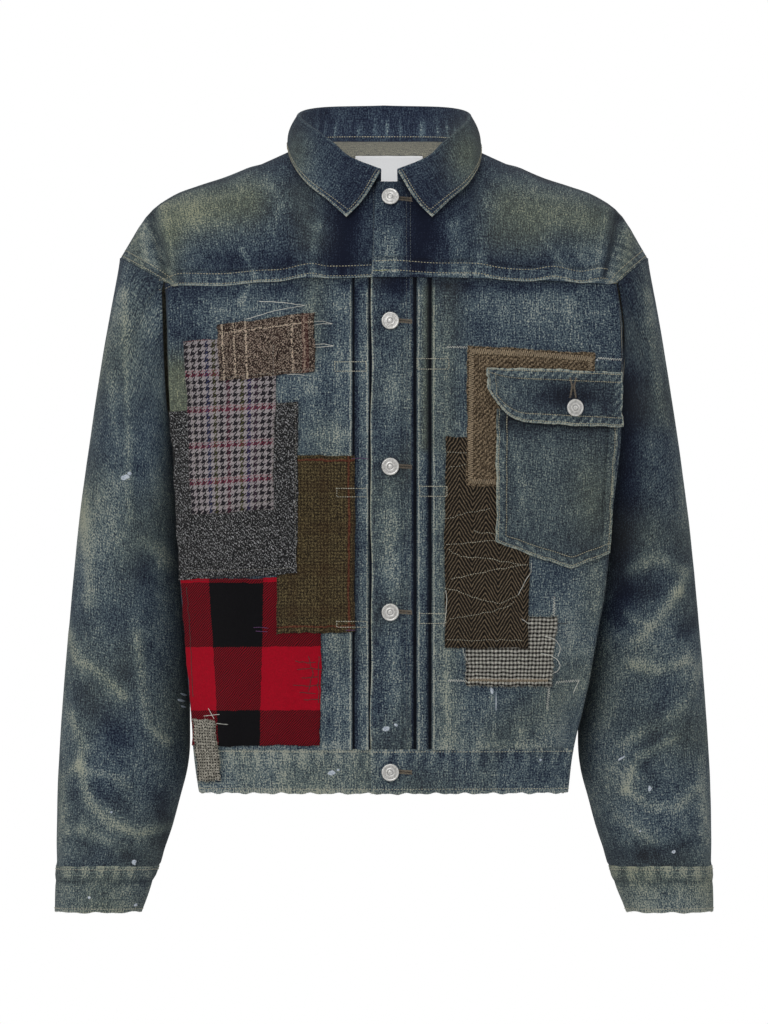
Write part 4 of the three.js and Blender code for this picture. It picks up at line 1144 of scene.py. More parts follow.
def cuff(side):
    angles = np.linspace(-math.pi, math.pi, 109)[:-1]
    downs = np.linspace(0, 1, 16)
    angle, down = np.meshgrid(angles, downs)
    grid = cuff_place(side, angle, down)
    x, z = side * grid[..., 0], grid[..., 2]
    ripple = band_pucker(x + 300 * (angle < 0), 15, 0.7 + side)
    lift = CUFF_LIFT + 0.35 * ripple * ease(1, 0.6, down) + 0.5 * unevenness(x, z, 70 + side)
    fold = hump(down - 0.33, 0.06)
    lift = lift - 0.5 * fold + 0.5 * hump(down - 0.2, 0.10)
    wobble = 0.5 * np.sin(x / 5.3) + 0.4 * np.sin(x / 2.9)
    grid = pushed(grid, lift, True, side)
    grid[-1, :, 2] += wobble[-1]
    wear = (0.66 if side > 0 else 0.56) + 0.16 * ripple * ease(0.36, 0.2, down)
    wear = wear - 0.24 * fold * (0.6 + 0.4 * np.sin(x / 11 + side))
    wear = wear + 0.22 * hump(down - 1, 0.05) + 0.2 * hump(down, 0.05)
    khaki = 0.30 + 0.35 * unevenness(x, z, 80 + side)
    # The shade mark here is painted shade in the groove of the fold.
    piece = shell("cuff_" + SIDE_WORD[side], grid, DOUBLE_CLOTH, [band_denim, band_denim], side, True,
                  {"wear": wear, "khaki": khaki, "shade": 0.15 * fold})
    return piece, grid


cuff_grids = {}
for side in (1, -1):
    pieces["sleeve_" + SIDE_WORD[side]] = sleeve(side)
    pieces["cuff_" + SIDE_WORD[side]], cuff_grids[side] = cuff(side)
    print("sleeve and cuff", SIDE_WORD[side])

# %% [markdown]
# ## Closing band, waistband and collar
# The closing band lies over the right front, with a free edge that has worn pale. The waistband is two layers
# thick and runs round the hem, its ends lapped under the last button. The collar is one folded piece: the
# stand rises round the neck, turns over at the roll line, and falls to two points.

# %% Closing band
BUTTON_X = 6
BUTTON_Z = [-24, -141, -280, -419, -572]
FLAP_BUTTON = (177.5, -224)
PLACKET_FADES = [
    ([(8, -300), (10, -520)], 9, 0.12), ([(20, -110), (22, -240)], 5, 0.08),
    ([(8, -180), (6, -240)], 9, 0.14),
    ([(4, -330), (6, -380)], 8, 0.10), ([(6, -450), (8, -500)], 8, 0.10),
    ([(6, -104), (10, -112)], 12, -0.26),
    ([(-6, -141), (20, -141)], 8, -0.10), ([(-4, -280), (18, -280)], 7, -0.14),
    ([(-4, -419), (18, -419)], 7, -0.12),
    ([(6, -545), (8, -530)], 12, -0.10),
]


def edge_wave(z):
    """The free edge of the closing band isn't quite straight."""
    return 0.6 * np.sin(z / 37) + 0.5 * np.sin(z / 15.3 + 1)


def placket():
    xs = np.concatenate([PLACKET_EDGE_X + np.array([0, 0.7, 1.6, 3, 5]), np.linspace(-5, 17, 14),
                         np.linspace(18, PLACKET_SEAM_X, 7)])
    rows = np.linspace(BAND_TOP_Z + GAP, YOKE_Z - SEAM, 150)
    x, z = np.meshgrid(xs, rows)
    z_place = z + (yoke_seam_z(x) - YOKE_Z) * ease(YOKE_Z - 80, YOKE_Z, z)
    x_place = x + edge_wave(z) * ease(-4, PLACKET_EDGE_X, x)
    grid = front(x_place, z_place)
    bulge = 0.8 * hump(x + 8, 4) + 0.6 * hump(x - 22, 2.5)
    dimples = sum(-0.7 * spot_at(x, z, (BUTTON_X, button), (9, 8)) for button in BUTTON_Z[1:4])
    lift = closure_lift(x) + bulge * ease(YOKE_Z - 1, YOKE_Z - 8, z) + dimples + 0.5 * unevenness(x * 3, z, 8)
    grid = pushed(grid, lift)
    wear = 0.42 + strokes_at(x, z, PLACKET_FADES) + 0.05 * unevenness(x, z, 12) - 0.20 * ease(-128, -106, z)
    wear = wear + 0.6 * hump(x - PLACKET_EDGE_X, 0.9) + 0.07 * band_pucker(z, 13, 2) * hump(x + 8, 4)
    wear = wear + 0.12 * hump(x - 25, 1.5) + 0.06 * band_pucker(z, 11, 5) * hump(x - 22, 3)
    # Painted shade: a dark line where the band steps down past the underlap's edge, and a painted shadow
    # under the yoke.
    shade = 0.5 * hump(x - 17.5, 1.0) + 0.3 * hump(z - YOKE_Z + 2, 4)
    khaki = 0.16 + 0.25 * unevenness(x, z, 14)
    return shell("placket", grid, CLOTH, DENIM_FACES,
                 marks={"wear": wear, "khaki": khaki, "shade": 0.6 * shade})


pieces["placket"] = placket()

# %% Waistband
def waistband():
    start = -UNDERLAP_X / float(edge_x(-1, BAND_TOP_Z))
    end = -PLACKET_EDGE_X / float(edge_x(1, BAND_TOP_Z))
    right = np.concatenate([np.linspace(start, 1, 70), np.linspace(1, 2, 18)[1:], np.linspace(2, 3, 56)[1:]])
    left = np.concatenate([np.linspace(-end, 0.25, 26), np.linspace(0.25, 1, 50)[1:],
                           np.linspace(1, 2, 18)[1:],
                           np.linspace(2, 3, 56)[1:-1]])
    us = np.concatenate([right, 6 - left[::-1]])
    rows = np.linspace(HEM_Z, BAND_TOP_Z, 15)
    u, z = np.meshgrid(us, rows)
    along = np.where(u <= 3, u, 6 - u)
    grid = np.where((u <= 3)[..., None], body(-1, z, np.abs(along)), body(1, z, np.abs(along)))
    grid[..., 0] = np.where(along < 0, -grid[..., 0], grid[..., 0])
    run = lengths_along(grid, 1, False)[None, :]
    overlap = (DOUBLE_CLOTH + GAP) * (1 - ease(0.13, 0.2, 6 - u)) * (u > 3)
    ripple = band_pucker(run, 15, 1.3)
    top = ease(HEM_Z + 14, BAND_TOP_Z - 4, z)
    lift = 0.6 + overlap + 0.35 * ripple * (0.4 + 0.6 * top) + 0.5 * unevenness(run + 0 * z, z, 90)
    end_calm = ease(0, 0.05, us - us[0]) * ease(0, 0.05, us[-1] - us)
    grid = pushed(grid, lift * mix(0.9, 1, end_calm), handed=-1)
    grid[0, :, 2] += (0.6 * np.sin(run / 4.3) + 0.5 * np.sin(run / 2.3 + 1))[0]
    wear = 0.60 - 0.16 * ease(-30, 40, grid[..., 0]) * (grid[..., 1] < 0)
    wear = wear + 0.06 * unevenness(run + 0 * z, z, 91)
    wear = wear + 0.13 * ripple * top + 0.12 * ease(-40, -90, grid[..., 0]) * ease(-572, -560, z)
    wear = wear + 0.26 * hump(z - HEM_Z, 3)
    wear = wear + 0.16 * hump(z - BAND_TOP_Z, 2.5) - 0.06 * spot_at(grid[..., 0], z, (0, -575), (30, 30))
    khaki = 0.12 + 0.3 * unevenness(run + 0 * z, z, 92)
    # Painted shadow just under the band's top seam.
    shade = 0.35 * hump(z - BAND_TOP_Z + 1, 2.0)
    piece = shell("waistband", grid, DOUBLE_CLOTH, [band_denim, band_denim], -1,
                  marks={"wear": wear, "khaki": khaki, "shade": shade * 0.5})
    return piece, grid, run[0]


pieces["waistband"], band_grid, band_run = waistband()
print("waistband runs", round(float(band_run[-1])), "mm round")

# %% Collar
COLLAR_CLOTH = 1.6
COLLAR_END = 0.1
FRONT_BOW = 3.6
ROLL_Z = track([(0, 2), (0.49, 18), (0.7, 31), (1.05, 46), (1.57, 59), (2.27, 68), (3.15, 71)])
ROLL_X, ROLL_Y, ROLL_HALF = 82, 83, 2.4
FALL = track([(0.1, 41, -108, -41), (0.44, 58, -101, -25), (0.79, 77, -88, -9), (1.13, 89, -64, 9),
              (1.57, 93, -8, 29), (2.2, 84, 48, 28), (2.7, 46, 86, 22), (3.15, 0, 96, 20)])


def collar_place(around, over):
    """Over runs 0 to 1 up the stand, 1 to 2 round the roll and 2 to 3 down the fall."""
    side = np.where(around < 0, -1.0, 1.0)
    angle = math.pi - np.abs(around) * (math.pi - COLLAR_END)
    forward = np.maximum(np.cos(angle), 0)
    out = np.stack([side * np.sin(angle), -np.cos(angle), 0 * angle], -1)
    foot = neck(1, angle)
    foot[..., 0] = side * NECK_X * np.sin(angle) + FRONT_MIDDLE_X * forward
    roll = np.stack([side * ROLL_X * np.sin(angle) + FRONT_MIDDLE_X * forward,
                     NECK_MIDDLE_Y - ROLL_Y * np.cos(angle), ROLL_Z(angle)], -1)
    fall_x, fall_y, fall_z = FALL(angle)
    fall = np.stack([side * fall_x + FRONT_MIDDLE_X * forward, fall_y, fall_z], -1)
    down = np.array([0, 0, 1.0])
    inside, outside = roll - out * ROLL_HALF - 2 * down, roll + out * ROLL_HALF - 2 * down
    base = foot - 4.2 * out - 0.8 * down
    over3 = over[..., None]
    turn = (np.clip(over3, 1, 2) - 1) * math.pi
    rolled = mix(inside, outside, (1 - np.cos(turn)) / 2) + 2 * np.sin(turn) * down
    fallen = mix(outside, fall, np.clip(over3 - 2, 0, 1))
    fallen = fallen + out * 3 * np.sin(np.clip(over3 - 2, 0, 1) * math.pi)
    bow = FRONT_BOW * ease(0.8, 1, np.abs(around)) * np.sin(np.clip(over - 2, 0, 1) ** 1.3 * math.pi)
    fallen[..., 0] -= side * bow
    return np.where(over3 < 1, mix(base, inside, over3), np.where(over3 < 2, rolled, fallen))


def collar():
    overs = np.concatenate([np.linspace(0, 1, 14), np.linspace(1, 2, 11)[1:], np.linspace(2, 3, 24)[1:]])
    arounds = np.linspace(-1, 1, 161)
    around, over = np.meshgrid(arounds, overs)
    grid = collar_place(around, over)
    fall = np.clip(over - 2, 0, 1)
    x, z = grid[..., 0], grid[..., 2]
    edge = np.maximum(ease(0.84, 1.0, fall), ease(0.94, 1.0, np.abs(around)) * (over > 2))
    puckers = band_pucker(around * 260, 9, 0.3)
    calm = ease(0, 0.1, 1 - np.abs(around))
    lift = 0.45 * edge * ease(1, 0.97, fall) + 0.14 * puckers * ease(0.8, 0.95, fall)
    lift = lift + 0.5 * fall * unevenness(x, z, 15) * calm
    curl = 2.2 * ease(0.55, 1, fall) * ease(0.9, 1, np.abs(around))
    grid = pushed(grid, lift + curl * 0.4)
    wear = 0.22 + 0.24 * ease(-30, -70, x) * fall + 0.07 * unevenness(x, z, 16) + 0.40 * hump(fall - 1, 0.02)
    wear = wear + 0.5 * hump(np.abs(around) - 1, 0.004) * (over > 2)
    wear = wear + 0.07 * puckers * ease(0.82, 0.95, fall) + 0.18 * hump(over - 1.6, 0.35)
    wear = wear + 0.22 * spot_at(x, z, (78, 14), (22, 24)) + 0.20 * spot_at(x, z, (-74, 14), (18, 26))
    streaks = np.clip(np.sin(around * 97 + 2 * np.sin(around * 23)), 0, 1) ** 3
    wear = wear + (over < 1.2) * (0.34 * streaks * hump(over - 0.35, 0.26))
    khaki = 0.8 * spot_at(x, z, (80, 20), (22, 30)) + 0.5 * spot_at(x, z, (-84, 20), (14, 26))
    # The shade mark here is painted shade at the foot of the stand, inside the neck.
    piece = shell("collar", grid, COLLAR_CLOTH, [collar_denim, collar_denim],
                  marks={"wear": wear, "khaki": khaki, "shade": 0.25 * (over < 0.1)})
    return piece, grid, arounds, overs


pieces["collar"], collar_grid, collar_arounds, collar_overs = collar()
print("collar:", len(pieces["collar"].data.polygons), "faces")

# %% [markdown]
# The neck label is a plain woven tape, left blank, on the inside of the back.

# %% Neck label
LABEL_X, LABEL_RISE = (-28, 38), (0.41, 0.775)
LABEL_THICK = 1.0


def neck_label():
    x, up = np.meshgrid(np.linspace(*LABEL_X, 34), np.linspace(*LABEL_RISE, 20))
    shares = np.linspace(0, NECK_SHARE, 120)
    table = upper_back_place(1, shares[None, :], np.linspace(*LABEL_RISE, 20)[:, None])[..., 0]
    share = np.stack([np.interp(np.abs(x[i]), table[i], shares) for i in range(len(x))])
    return pushed(two_sided(upper_back_place, x, share, up),
                  -(CLOTH + 3.2 * GAP) - 0.5 * np.sin(x / 9) ** 2 * 0.4, handed=-1)


label_tape, tree, color, height = cloth_material("label_weave", 0.05, 0.3)
grain = use_group(tree, grain_group)
ribs = calc(tree, "ADD", calc(tree, "MULTIPLY", grain["Twill"], 0.03), around_zero(tree, grain["Speck"], 0.2))
tree.links.new(ramp(tree, calc(tree, "ADD", ribs, 0.6), [(0.2, "cfcfd0"), (0.8, "ecedef")]), color)
tree.links.new(grain["Height"], height)
pieces["neck_label"] = shell("neck_label", neck_label(), LABEL_THICK, [label_tape, label_tape], -1)
print("label", LABEL_X[1] - LABEL_X[0], "mm wide")

# %% [markdown]
# ## Wool patches: the weaves
# The patches are cut from old suits, coats and a shirt. A weave is a chart: at every crossing either the warp
# thread or the weft thread is on top, and the colour seen is that thread's own. So each cloth here counts its
# threads along the UV map, picks the one on top, and colours it by its place in the stripe order. That gives
# checks, houndstooth and herringbone their true stepped edges, and no picture is needed.

# %% Group: thread_count
thread_group, thread_in, thread_out = new_group(
    "thread_count", [("Pitch", "Float", 0.001)],
    [("Across", "Float", None), ("Up", "Float", None), ("Cell", "Float", None), ("Blotch", "Float", None),
     ("Ridge", "Float", None), ("Fibre", "Float", None)])
lengths = thread_group.nodes.new("ShaderNodeUVMap").outputs[0]
wander = node(thread_group, "ShaderNodeTexNoise", {"Vector": lengths, "Scale": 130.0, "Detail": 1.0},
              noise_dimensions="2D").outputs["Color"]
wander = node(thread_group, "ShaderNodeVectorMath", {0: wander, 1: (0.5, 0.5, 0.5)},
              operation="SUBTRACT").outputs[0]
strayed = node(thread_group, "ShaderNodeVectorMath", {0: lengths, 1: scaled(thread_group, wander, 0.0018)},
               operation="ADD").outputs[0]
axes = node(thread_group, "ShaderNodeSeparateXYZ", {0: strayed}).outputs
counts = [calc(thread_group, "DIVIDE", axes[k], thread_in["Pitch"]) for k in (0, 1)]
for title, value in (("Across", counts[0]), ("Up", counts[1])):
    thread_group.links.new(value, thread_out[title])
cell = node(thread_group, "ShaderNodeCombineXYZ", {0: calc(thread_group, "FLOOR", counts[0]),
                                                   1: calc(thread_group, "FLOOR", counts[1])}).outputs[0]
thread_group.links.new(node(thread_group, "ShaderNodeTexWhiteNoise", {"Vector": cell},
                            noise_dimensions="2D").outputs["Value"], thread_out["Cell"])
thread_group.links.new(stretched_noise(thread_group, lengths, (0.004, 0.005), 3.0), thread_out["Blotch"])
thread_group.links.new(stretched_noise(thread_group, lengths, (0.0008, 0.0017), 2.0), thread_out["Fibre"])
ridges = [calc(thread_group, "ABSOLUTE",
               calc(thread_group, "SINE", calc(thread_group, "MULTIPLY", count, math.pi)))
          for count in counts]
thread_group.links.new(calc(thread_group, "MULTIPLY", *ridges), thread_out["Ridge"])
print("thread_count has", len(thread_group.nodes), "nodes")


def within(tree, value, start, end):
    """1 where a value lies between two numbers."""
    return calc(tree, "MULTIPLY", calc(tree, "GREATER_THAN", value, start),
                calc(tree, "LESS_THAN", value, end))


def every(tree, count, period, start, end):
    """1 on the threads numbered start to end of each repeat."""
    return within(tree, calc(tree, "FLOORED_MODULO", count, float(period)), start - 0.001, end - 0.001)


def either_of(tree, *masks):
    total = masks[0]
    for mask in masks[1:]:
        total = calc(tree, "MAXIMUM", total, mask)
    return total


class Wool:
    """A wool cloth's material, with its threads counted."""

    def __init__(self, name, pitch, sheen=0.08):
        self.material, self.tree, self.color, self.height = cloth_material(name + "_weave", sheen, 0.8)
        self.threads = use_group(self.tree, thread_group, {"Pitch": pitch})
        self.across, self.up = self.threads["Across"], self.threads["Up"]

    def finish(self, color, fleck=0.5, blotch=0.3):
        """Breaks the colour up by thread and by fibre, darkens it with the shade mark's painted shade, and
        raises the threads.
        """
        tree = self.tree
        light = calc(tree, "ADD", around_zero(tree, self.threads["Fibre"], 2.0 * fleck),
                     around_zero(tree, self.threads["Cell"], 0.9 * fleck))
        light = calc(tree, "ADD", light, around_zero(tree, self.threads["Blotch"], blotch))
        # Painted shade: the shade mark darkens the wool, mostly along the patch edges.
        painted_shade_and_tone = node(tree, "ShaderNodeAttribute", attribute_name="shade").outputs["Fac"]
        gain = calc(tree, "SUBTRACT", calc(tree, "ADD", light, 1.0), calc(tree, "MULTIPLY", painted_shade_and_tone, 0.7))
        tree.links.new(scaled(tree, color, gain), self.color)
        tree.links.new(calc(tree, "ADD", self.threads["Ridge"], self.threads["Fibre"]), self.height)
        return self.material

    def twill_up(self, over=2, repeat=4, lean=1.0, fine=1.0):
        """1 where the warp is on top, in a leaning twill, with so many fine threads to each counted one."""
        across, up = (calc(self.tree, "FLOOR", calc(self.tree, "MULTIPLY", count, fine))
                      for count in (self.across, self.up))
        return every(self.tree, calc(self.tree, "MULTIPLY_ADD", up, lean, across), repeat, 0, over)


# %% Buffalo plaid, houndstooth and small check
def plaid_cloth():
    """Wide stripes of black and red both ways: where they cross, a twill mixes them."""
    wool = Wool("plaid_cloth", 0.00105, 0.04)
    tree = wool.tree
    right_side = calc(tree, "LESS_THAN", calc(tree, "MULTIPLY_ADD", wool.up, -0.055, wool.across), 70.5)
    black_warp = calc(tree, "MULTIPLY", calc(tree, "GREATER_THAN", wool.across, 28.0), right_side)
    black_weft = every(tree, wool.up, 117, -1, 32)
    black_weft = either_of(tree, black_weft, every(tree, wool.up, 117, 90, 147),
                           every(tree, wool.up, 200, 90, 147))
    red, black = tone("b80624"), tone("0e0d11")
    warp_color, weft_color = blend(tree, black_warp, red, black), blend(tree, black_weft, red, black)
    crossed = calc(tree, "ABSOLUTE", calc(tree, "SUBTRACT", black_warp, black_weft))
    top = blend(tree, wool.twill_up(lean=-1.0, fine=1.7), weft_color, warp_color)
    return wool.finish(blend(tree, calc(tree, "MULTIPLY", crossed, 0.38), top, black), 0.16, 0.12)


def hounds_cloth():
    """Four dark and four light threads both ways, in a twill, with a fine coloured check over them."""
    wool = Wool("hounds_cloth", 0.00086)
    tree = wool.tree
    light, dark = tone("aaa2a4"), tone("231f26")
    across, up = calc(tree, "FLOOR", wool.across), calc(tree, "FLOOR", wool.up)
    warp_color = blend(tree, every(tree, across, 8, 0, 4), light, dark)
    weft_color = blend(tree, every(tree, up, 8, 0, 4), light, dark)
    for start, code in ((24, "2f3459"), (32, "4b4a2a"), (48, "5c2a3c"), (64, "4f4e2c"), (72, "3a3160"),
                        (80, "43303f")):
        warp_color = blend(tree, every(tree, across, 104, start, start + 4), warp_color, tone(code))
    for start, code in ((32, "75233d"), (34, "75233d"), (37, "a98388")):
        weft_color = blend(tree, every(tree, up, 40, start, start + 2), weft_color, tone(code))
    top = blend(tree, wool.twill_up(lean=-1.0), weft_color, warp_color)
    return wool.finish(top, 0.55, 0.3)


def grey_check_cloth():
    """A tiny check, as two cream and two black threads give in a plain weave."""
    wool = Wool("grey_check_cloth", 0.00095)
    tree = wool.tree
    across, up = calc(tree, "FLOOR", wool.across), calc(tree, "FLOOR", wool.up)
    share = calc(tree, "MULTIPLY_ADD", every(tree, across, 4, 0, 2), 0.45,
                 calc(tree, "MULTIPLY", every(tree, up, 4, 0, 2), 0.55))
    return wool.finish(ramp(tree, share, [(0.0, "cfcdc4"), (0.45, "8f8c84"), (0.55, "6c6a64"),
                                          (1.0, "161516")]), 0.45, 0.3)


# %% Tweeds
def speckled_cloth():
    """Charcoal wool with pale flecks that lean with the twill."""
    wool = Wool("speckled_cloth", 0.00095)
    tree = wool.tree
    lean = calc(tree, "MULTIPLY", wool.twill_up(), 0.10)
    mixed = calc(tree, "ADD", wool.threads["Fibre"], calc(tree, "MULTIPLY", wool.threads["Cell"], 0.34))
    mixed = calc(tree, "ADD", mixed, lean)
    colors = ramp(tree, mixed, [(0.44, "0b0c0e"), (0.65, "1d1e20"), (0.84, "3b3b3c"), (0.95, "aeaeb0")])
    return wool.finish(colors, 0.25, 0.3)


def cream_stripe_cloth():
    """Brown tweed with cream yarns, two close together and then one."""
    wool = Wool("cream_stripe_cloth", 0.0009)
    tree = wool.tree
    mixed = calc(tree, "ADD", wool.threads["Cell"], around_zero(tree, wool.threads["Fibre"], 1.0))
    mixed = calc(tree, "MULTIPLY_ADD", wool.twill_up(1, 3, -1.0), 0.25, mixed)
    ground = ramp(tree, mixed, [(0.15, "1f1512"), (0.45, "392b26"), (0.72, "5f4e46"), (0.97, "a39384")])
    stripes = either_of(tree, *[every(tree, wool.across, 76, start, start + 2.1) for start in (4, 17, 30)])
    stripes = either_of(tree, stripes, every(tree, wool.up, 120, 51, 52.6))
    seen = calc(tree, "MULTIPLY", stripes, calc(tree, "GREATER_THAN", wool.threads["Cell"], 0.28))
    striped = blend(tree, calc(tree, "MULTIPLY", seen, 0.85), ground, tone("cdbba6"))
    edge_rows = every(tree, wool.across, 200, 92, 99)
    return wool.finish(blend(tree, calc(tree, "MULTIPLY", edge_rows, 0.4), striped, tone("5a2022")), 0.5, 0.2)


def olive_cloth():
    """Olive and brown yarns crossed in a windowed check, with a thin red line by the edge."""
    wool = Wool("olive_cloth", 0.0008)
    tree = wool.tree
    mixed = calc(tree, "MULTIPLY_ADD", wool.threads["Cell"], 0.4, wool.threads["Fibre"])
    bars = calc(tree, "ADD", every(tree, wool.across, 4, 0, 2), every(tree, wool.up, 4, 0, 2))
    windows = calc(tree, "ADD", every(tree, wool.across, 38, 13, 25), every(tree, wool.up, 50, 18, 32))
    mixed = calc(tree, "ADD", mixed, calc(tree, "MULTIPLY", bars, -0.13))
    ground = ramp(tree, mixed, [(0.28, "191208"), (0.48, "352a17"), (0.66, "544730"), (0.9, "7e704c")])
    shaded = blend(tree, calc(tree, "MULTIPLY", windows, 0.2), ground, tone("3a2413"))
    red_line = either_of(tree, every(tree, wool.across, 300, 86, 88.4), every(tree, wool.up, 300, 6, 8),
                         every(tree, wool.up, 300, 205, 207.5))
    return wool.finish(blend(tree, calc(tree, "MULTIPLY", red_line, 0.5), shaded, tone("762a22")), 0.4, 0.3)


def herringbone_cloth():
    """A twill whose lean turns round every few threads."""
    wool = Wool("herringbone_cloth", 0.00118)
    tree = wool.tree
    column = calc(tree, "FLOORED_MODULO", wool.across, 22.0)
    folded = calc(tree, "ABSOLUTE", calc(tree, "SUBTRACT", column, 11.0))
    diagonal = calc(tree, "MULTIPLY_ADD", folded, 1.6, wool.up)
    ribs = smooth(tree, calc(tree, "SINE", calc(tree, "MULTIPLY", diagonal, 2 * math.pi / 4.4)), -0.5, 0.9)
    mixed = calc(tree, "MULTIPLY_ADD", around_zero(tree, wool.threads["Fibre"], 1.0), 0.6,
                 calc(tree, "MULTIPLY", ribs, 0.62))
    return wool.finish(ramp(tree, mixed, [(0.0, "110d09"), (0.38, "2f261c"), (0.75, "857560")]), 0.4, 0.25)


def brown_twill_cloth():
    """A plain brown twill with heather in it."""
    wool = Wool("brown_twill_cloth", 0.00122)
    tree = wool.tree
    mixed = calc(tree, "ADD", calc(tree, "MULTIPLY", wool.twill_up(2, 4, -1.0), 0.22), wool.threads["Fibre"])
    mixed = calc(tree, "ADD", mixed, around_zero(tree, wool.threads["Cell"], 0.3))
    return wool.finish(ramp(tree, mixed, [(0.3, "261c13"), (0.58, "544636"), (0.86, "9a886f")]), 0.35, 0.3)


def basket_cloth():
    """Thick beige and grey yarns in a basket weave, near black in its holes: painted shade in the gaps."""
    wool = Wool("basket_cloth", 0.0014)
    tree = wool.tree
    # Painted shade: the holes between the yarns are painted near black.
    holes = calc(tree, "MULTIPLY", every(tree, wool.across, 2, 0, 1), every(tree, wool.up, 2, 0, 1))
    mixed = calc(tree, "MULTIPLY_ADD", wool.threads["Cell"], 0.3, wool.threads["Fibre"])
    ground = ramp(tree, mixed, [(0.3, "5b5952"), (0.6, "8f8b80"), (0.9, "c4bfb2")])
    return wool.finish(blend(tree, calc(tree, "MULTIPLY", holes, 0.95), ground, tone("171616")), 0.3, 0.2)


WOOLS = {
    "patch_plaid": plaid_cloth(), "patch_olive": olive_cloth(), "patch_speckled": speckled_cloth(),
    "patch_hounds": hounds_cloth(), "patch_cream_stripe": cream_stripe_cloth(),
    "patch_grey_check": grey_check_cloth(),
    "patch_herringbone": herringbone_cloth(), "patch_brown_twill": brown_twill_cloth(),
    "patch_basket": basket_cloth(),
}
print("weaves:", ", ".join(material.name for material in WOOLS.values()))

# %% [markdown]
# ## Laying patches on the cloth
# A patch is cut a little unevenly and sewn on over whatever lies there: the bare front, a pleat, or another
# patch. Its height over a place is the highest thing just under it, with the step softened, because wool is
# too thick to drop straight off an edge. The patches are laid in the order in which they were sewn.

# %% Patch outlines and order
# Corners are (x, z) in millimetres, from the upper left round with the clock.
PATCHES = {
    "patch_plaid": [(-194, -388), (-60, -386), (-61, -546), (-182, -547)],
    "patch_olive": [(-102, -270), (-28, -270), (-28, -438), (-102, -439)],
    "patch_speckled": [(-205, -228), (-82, -218), (-83, -382), (-195, -388)],
    "patch_hounds": [(-191, -160), (-103, -157), (-106, -320), (-183, -326)],
    "patch_cream_stripe": [(-159, -145), (-67, -133), (-66, -189), (-156, -198)],
    "patch_grey_check": [(77, -424), (165, -424), (159, -490), (79, -489)],
    "patch_herringbone": [(59, -252), (143, -252), (136, -453), (58, -453)],
    "patch_brown_twill": [(80, -165), (201, -172), (201, -298), (79, -298)],
}
HEM_PATCH = [(-182, -522), (-161, -523), (-155, -580), (-176, -581)]
PATCH, PATCH_REST = 1.0, 0.75
PATCH_CELL = 2.4
DRAPE_REACH = 3.0
STEP_SOFT = 3.2
RAGGED = 0.8
laid = []


def between(corners, u, v):
    """A place on a four-cornered piece: u across from the left, v up from the bottom."""
    a, b, c, d = (np.array(corner, float) for corner in corners)
    u, v = u[..., None], v[..., None]
    return mix(mix(d, c, u), mix(a, b, u), v)


def inside_by(corners, x, z):
    """How far a place is inside a four-cornered piece, in millimetres; negative outside."""
    depth = np.full(np.shape(x), 1e9)
    for (ax, az), (bx, bz) in zip(corners, corners[1:] + corners[:1]):
        length = math.hypot(bx - ax, bz - az)
        depth = np.minimum(depth, -((bx - ax) * (z - az) - (bz - az) * (x - ax)) / length)
    return depth


def bare_height(x, z):
    """The front under a place: its own lift, and the waistband below its seam."""
    out = np.abs(x)
    lift = np.where(x < 0, front_lift(-1, x, z, out), front_lift(1, x, z, out))
    return np.where(z < BAND_TOP_Z + 1, 1.6, lift)


def height_under(x, z):
    """The highest thing near a place, with soft steps."""
    height = np.full(np.shape(x), -9.0)
    for dx in (-DRAPE_REACH, 0, DRAPE_REACH):
        for dz in (-DRAPE_REACH, 0, DRAPE_REACH):
            height = np.maximum(height, bare_height(x + dx, z + dz))
    for corners, thickness in laid:
        height = height + thickness * ease(-STEP_SOFT, 0.3, inside_by(corners, x, z))
    return height


def ragged(u, v, seed):
    """Small in-and-out wanderings of the cut edges, in the plane of the cloth."""
    rng = np.random.default_rng(seed)
    shift = np.zeros((*u.shape, 2))
    for waves in (3, 7, 13, 29):
        phase = rng.uniform(0, 2 * math.pi, 4)
        amount = RAGGED / waves ** 0.5
        shift[..., 0] += amount * (np.sin(waves * math.pi * v + phase[0]) * (1 - u) ** 8
                                   + np.sin(waves * math.pi * v + phase[1]) * u ** 8)
        shift[..., 1] += amount * (np.sin(waves * math.pi * u + phase[2]) * (1 - v) ** 8
                                   + np.sin(waves * math.pi * u + phase[3]) * v ** 8)
    return shift


def laid_grid(corners, seed, extra=0.0, cell=PATCH_CELL, dip=None):
    """The outer grid of a piece laid on the front, and its shares across and up."""
    a, b, c, d = corners
    wide = max(2, round(math.dist(a, b) / cell))
    tall = max(2, round(math.dist(b, c) / cell))
    u, v = np.meshgrid(np.linspace(0, 1, wide + 1), np.linspace(0, 1, tall + 1))
    place = between(corners, u, v) + ragged(u, v, seed)
    if dip is not None:
        place[..., 1] -= dip(u, v)
    x, z = place[..., 0], place[..., 1]
    rim = np.minimum(np.minimum(u, 1 - u) * math.dist(a, b), np.minimum(v, 1 - v) * math.dist(b, c))
    lift = height_under(x, z) + PATCH_REST + extra
    pucker = 0.22 * hump(rim - 4, 3) * np.sin(1.1 * x + 0.7 * np.sin(z / 5)) * np.sin(1.2 * z)
    lift = lift - 0.3 * hump(rim - 3, 1.5) + 0.35 * unevenness(x * 2, z * 2, seed) + pucker
    return front(x, z), lift, u, v, rim


def patch(name, corners, seed):
    grid, lift, u, v, rim = laid_grid(corners, seed, 0.8 if name == "patch_basket" else 0.0)
    corner = np.abs(2 * u - 1) ** 10 * np.abs(2 * v - 1) ** 10
    grid = pushed(grid, lift + 0.9 * corner + PATCH)
    laid.append((corners, PATCH))
    # Painted shade along the patch's own edges, with a little uneven tone.
    shade = 0.22 * hump(rim, 2.0) + 0.06 * unevenness(grid[..., 0], grid[..., 2], seed + 1)
    return shell(name, grid, PATCH, [WOOLS[name], WOOLS[name]], marks={"shade": shade}), grid


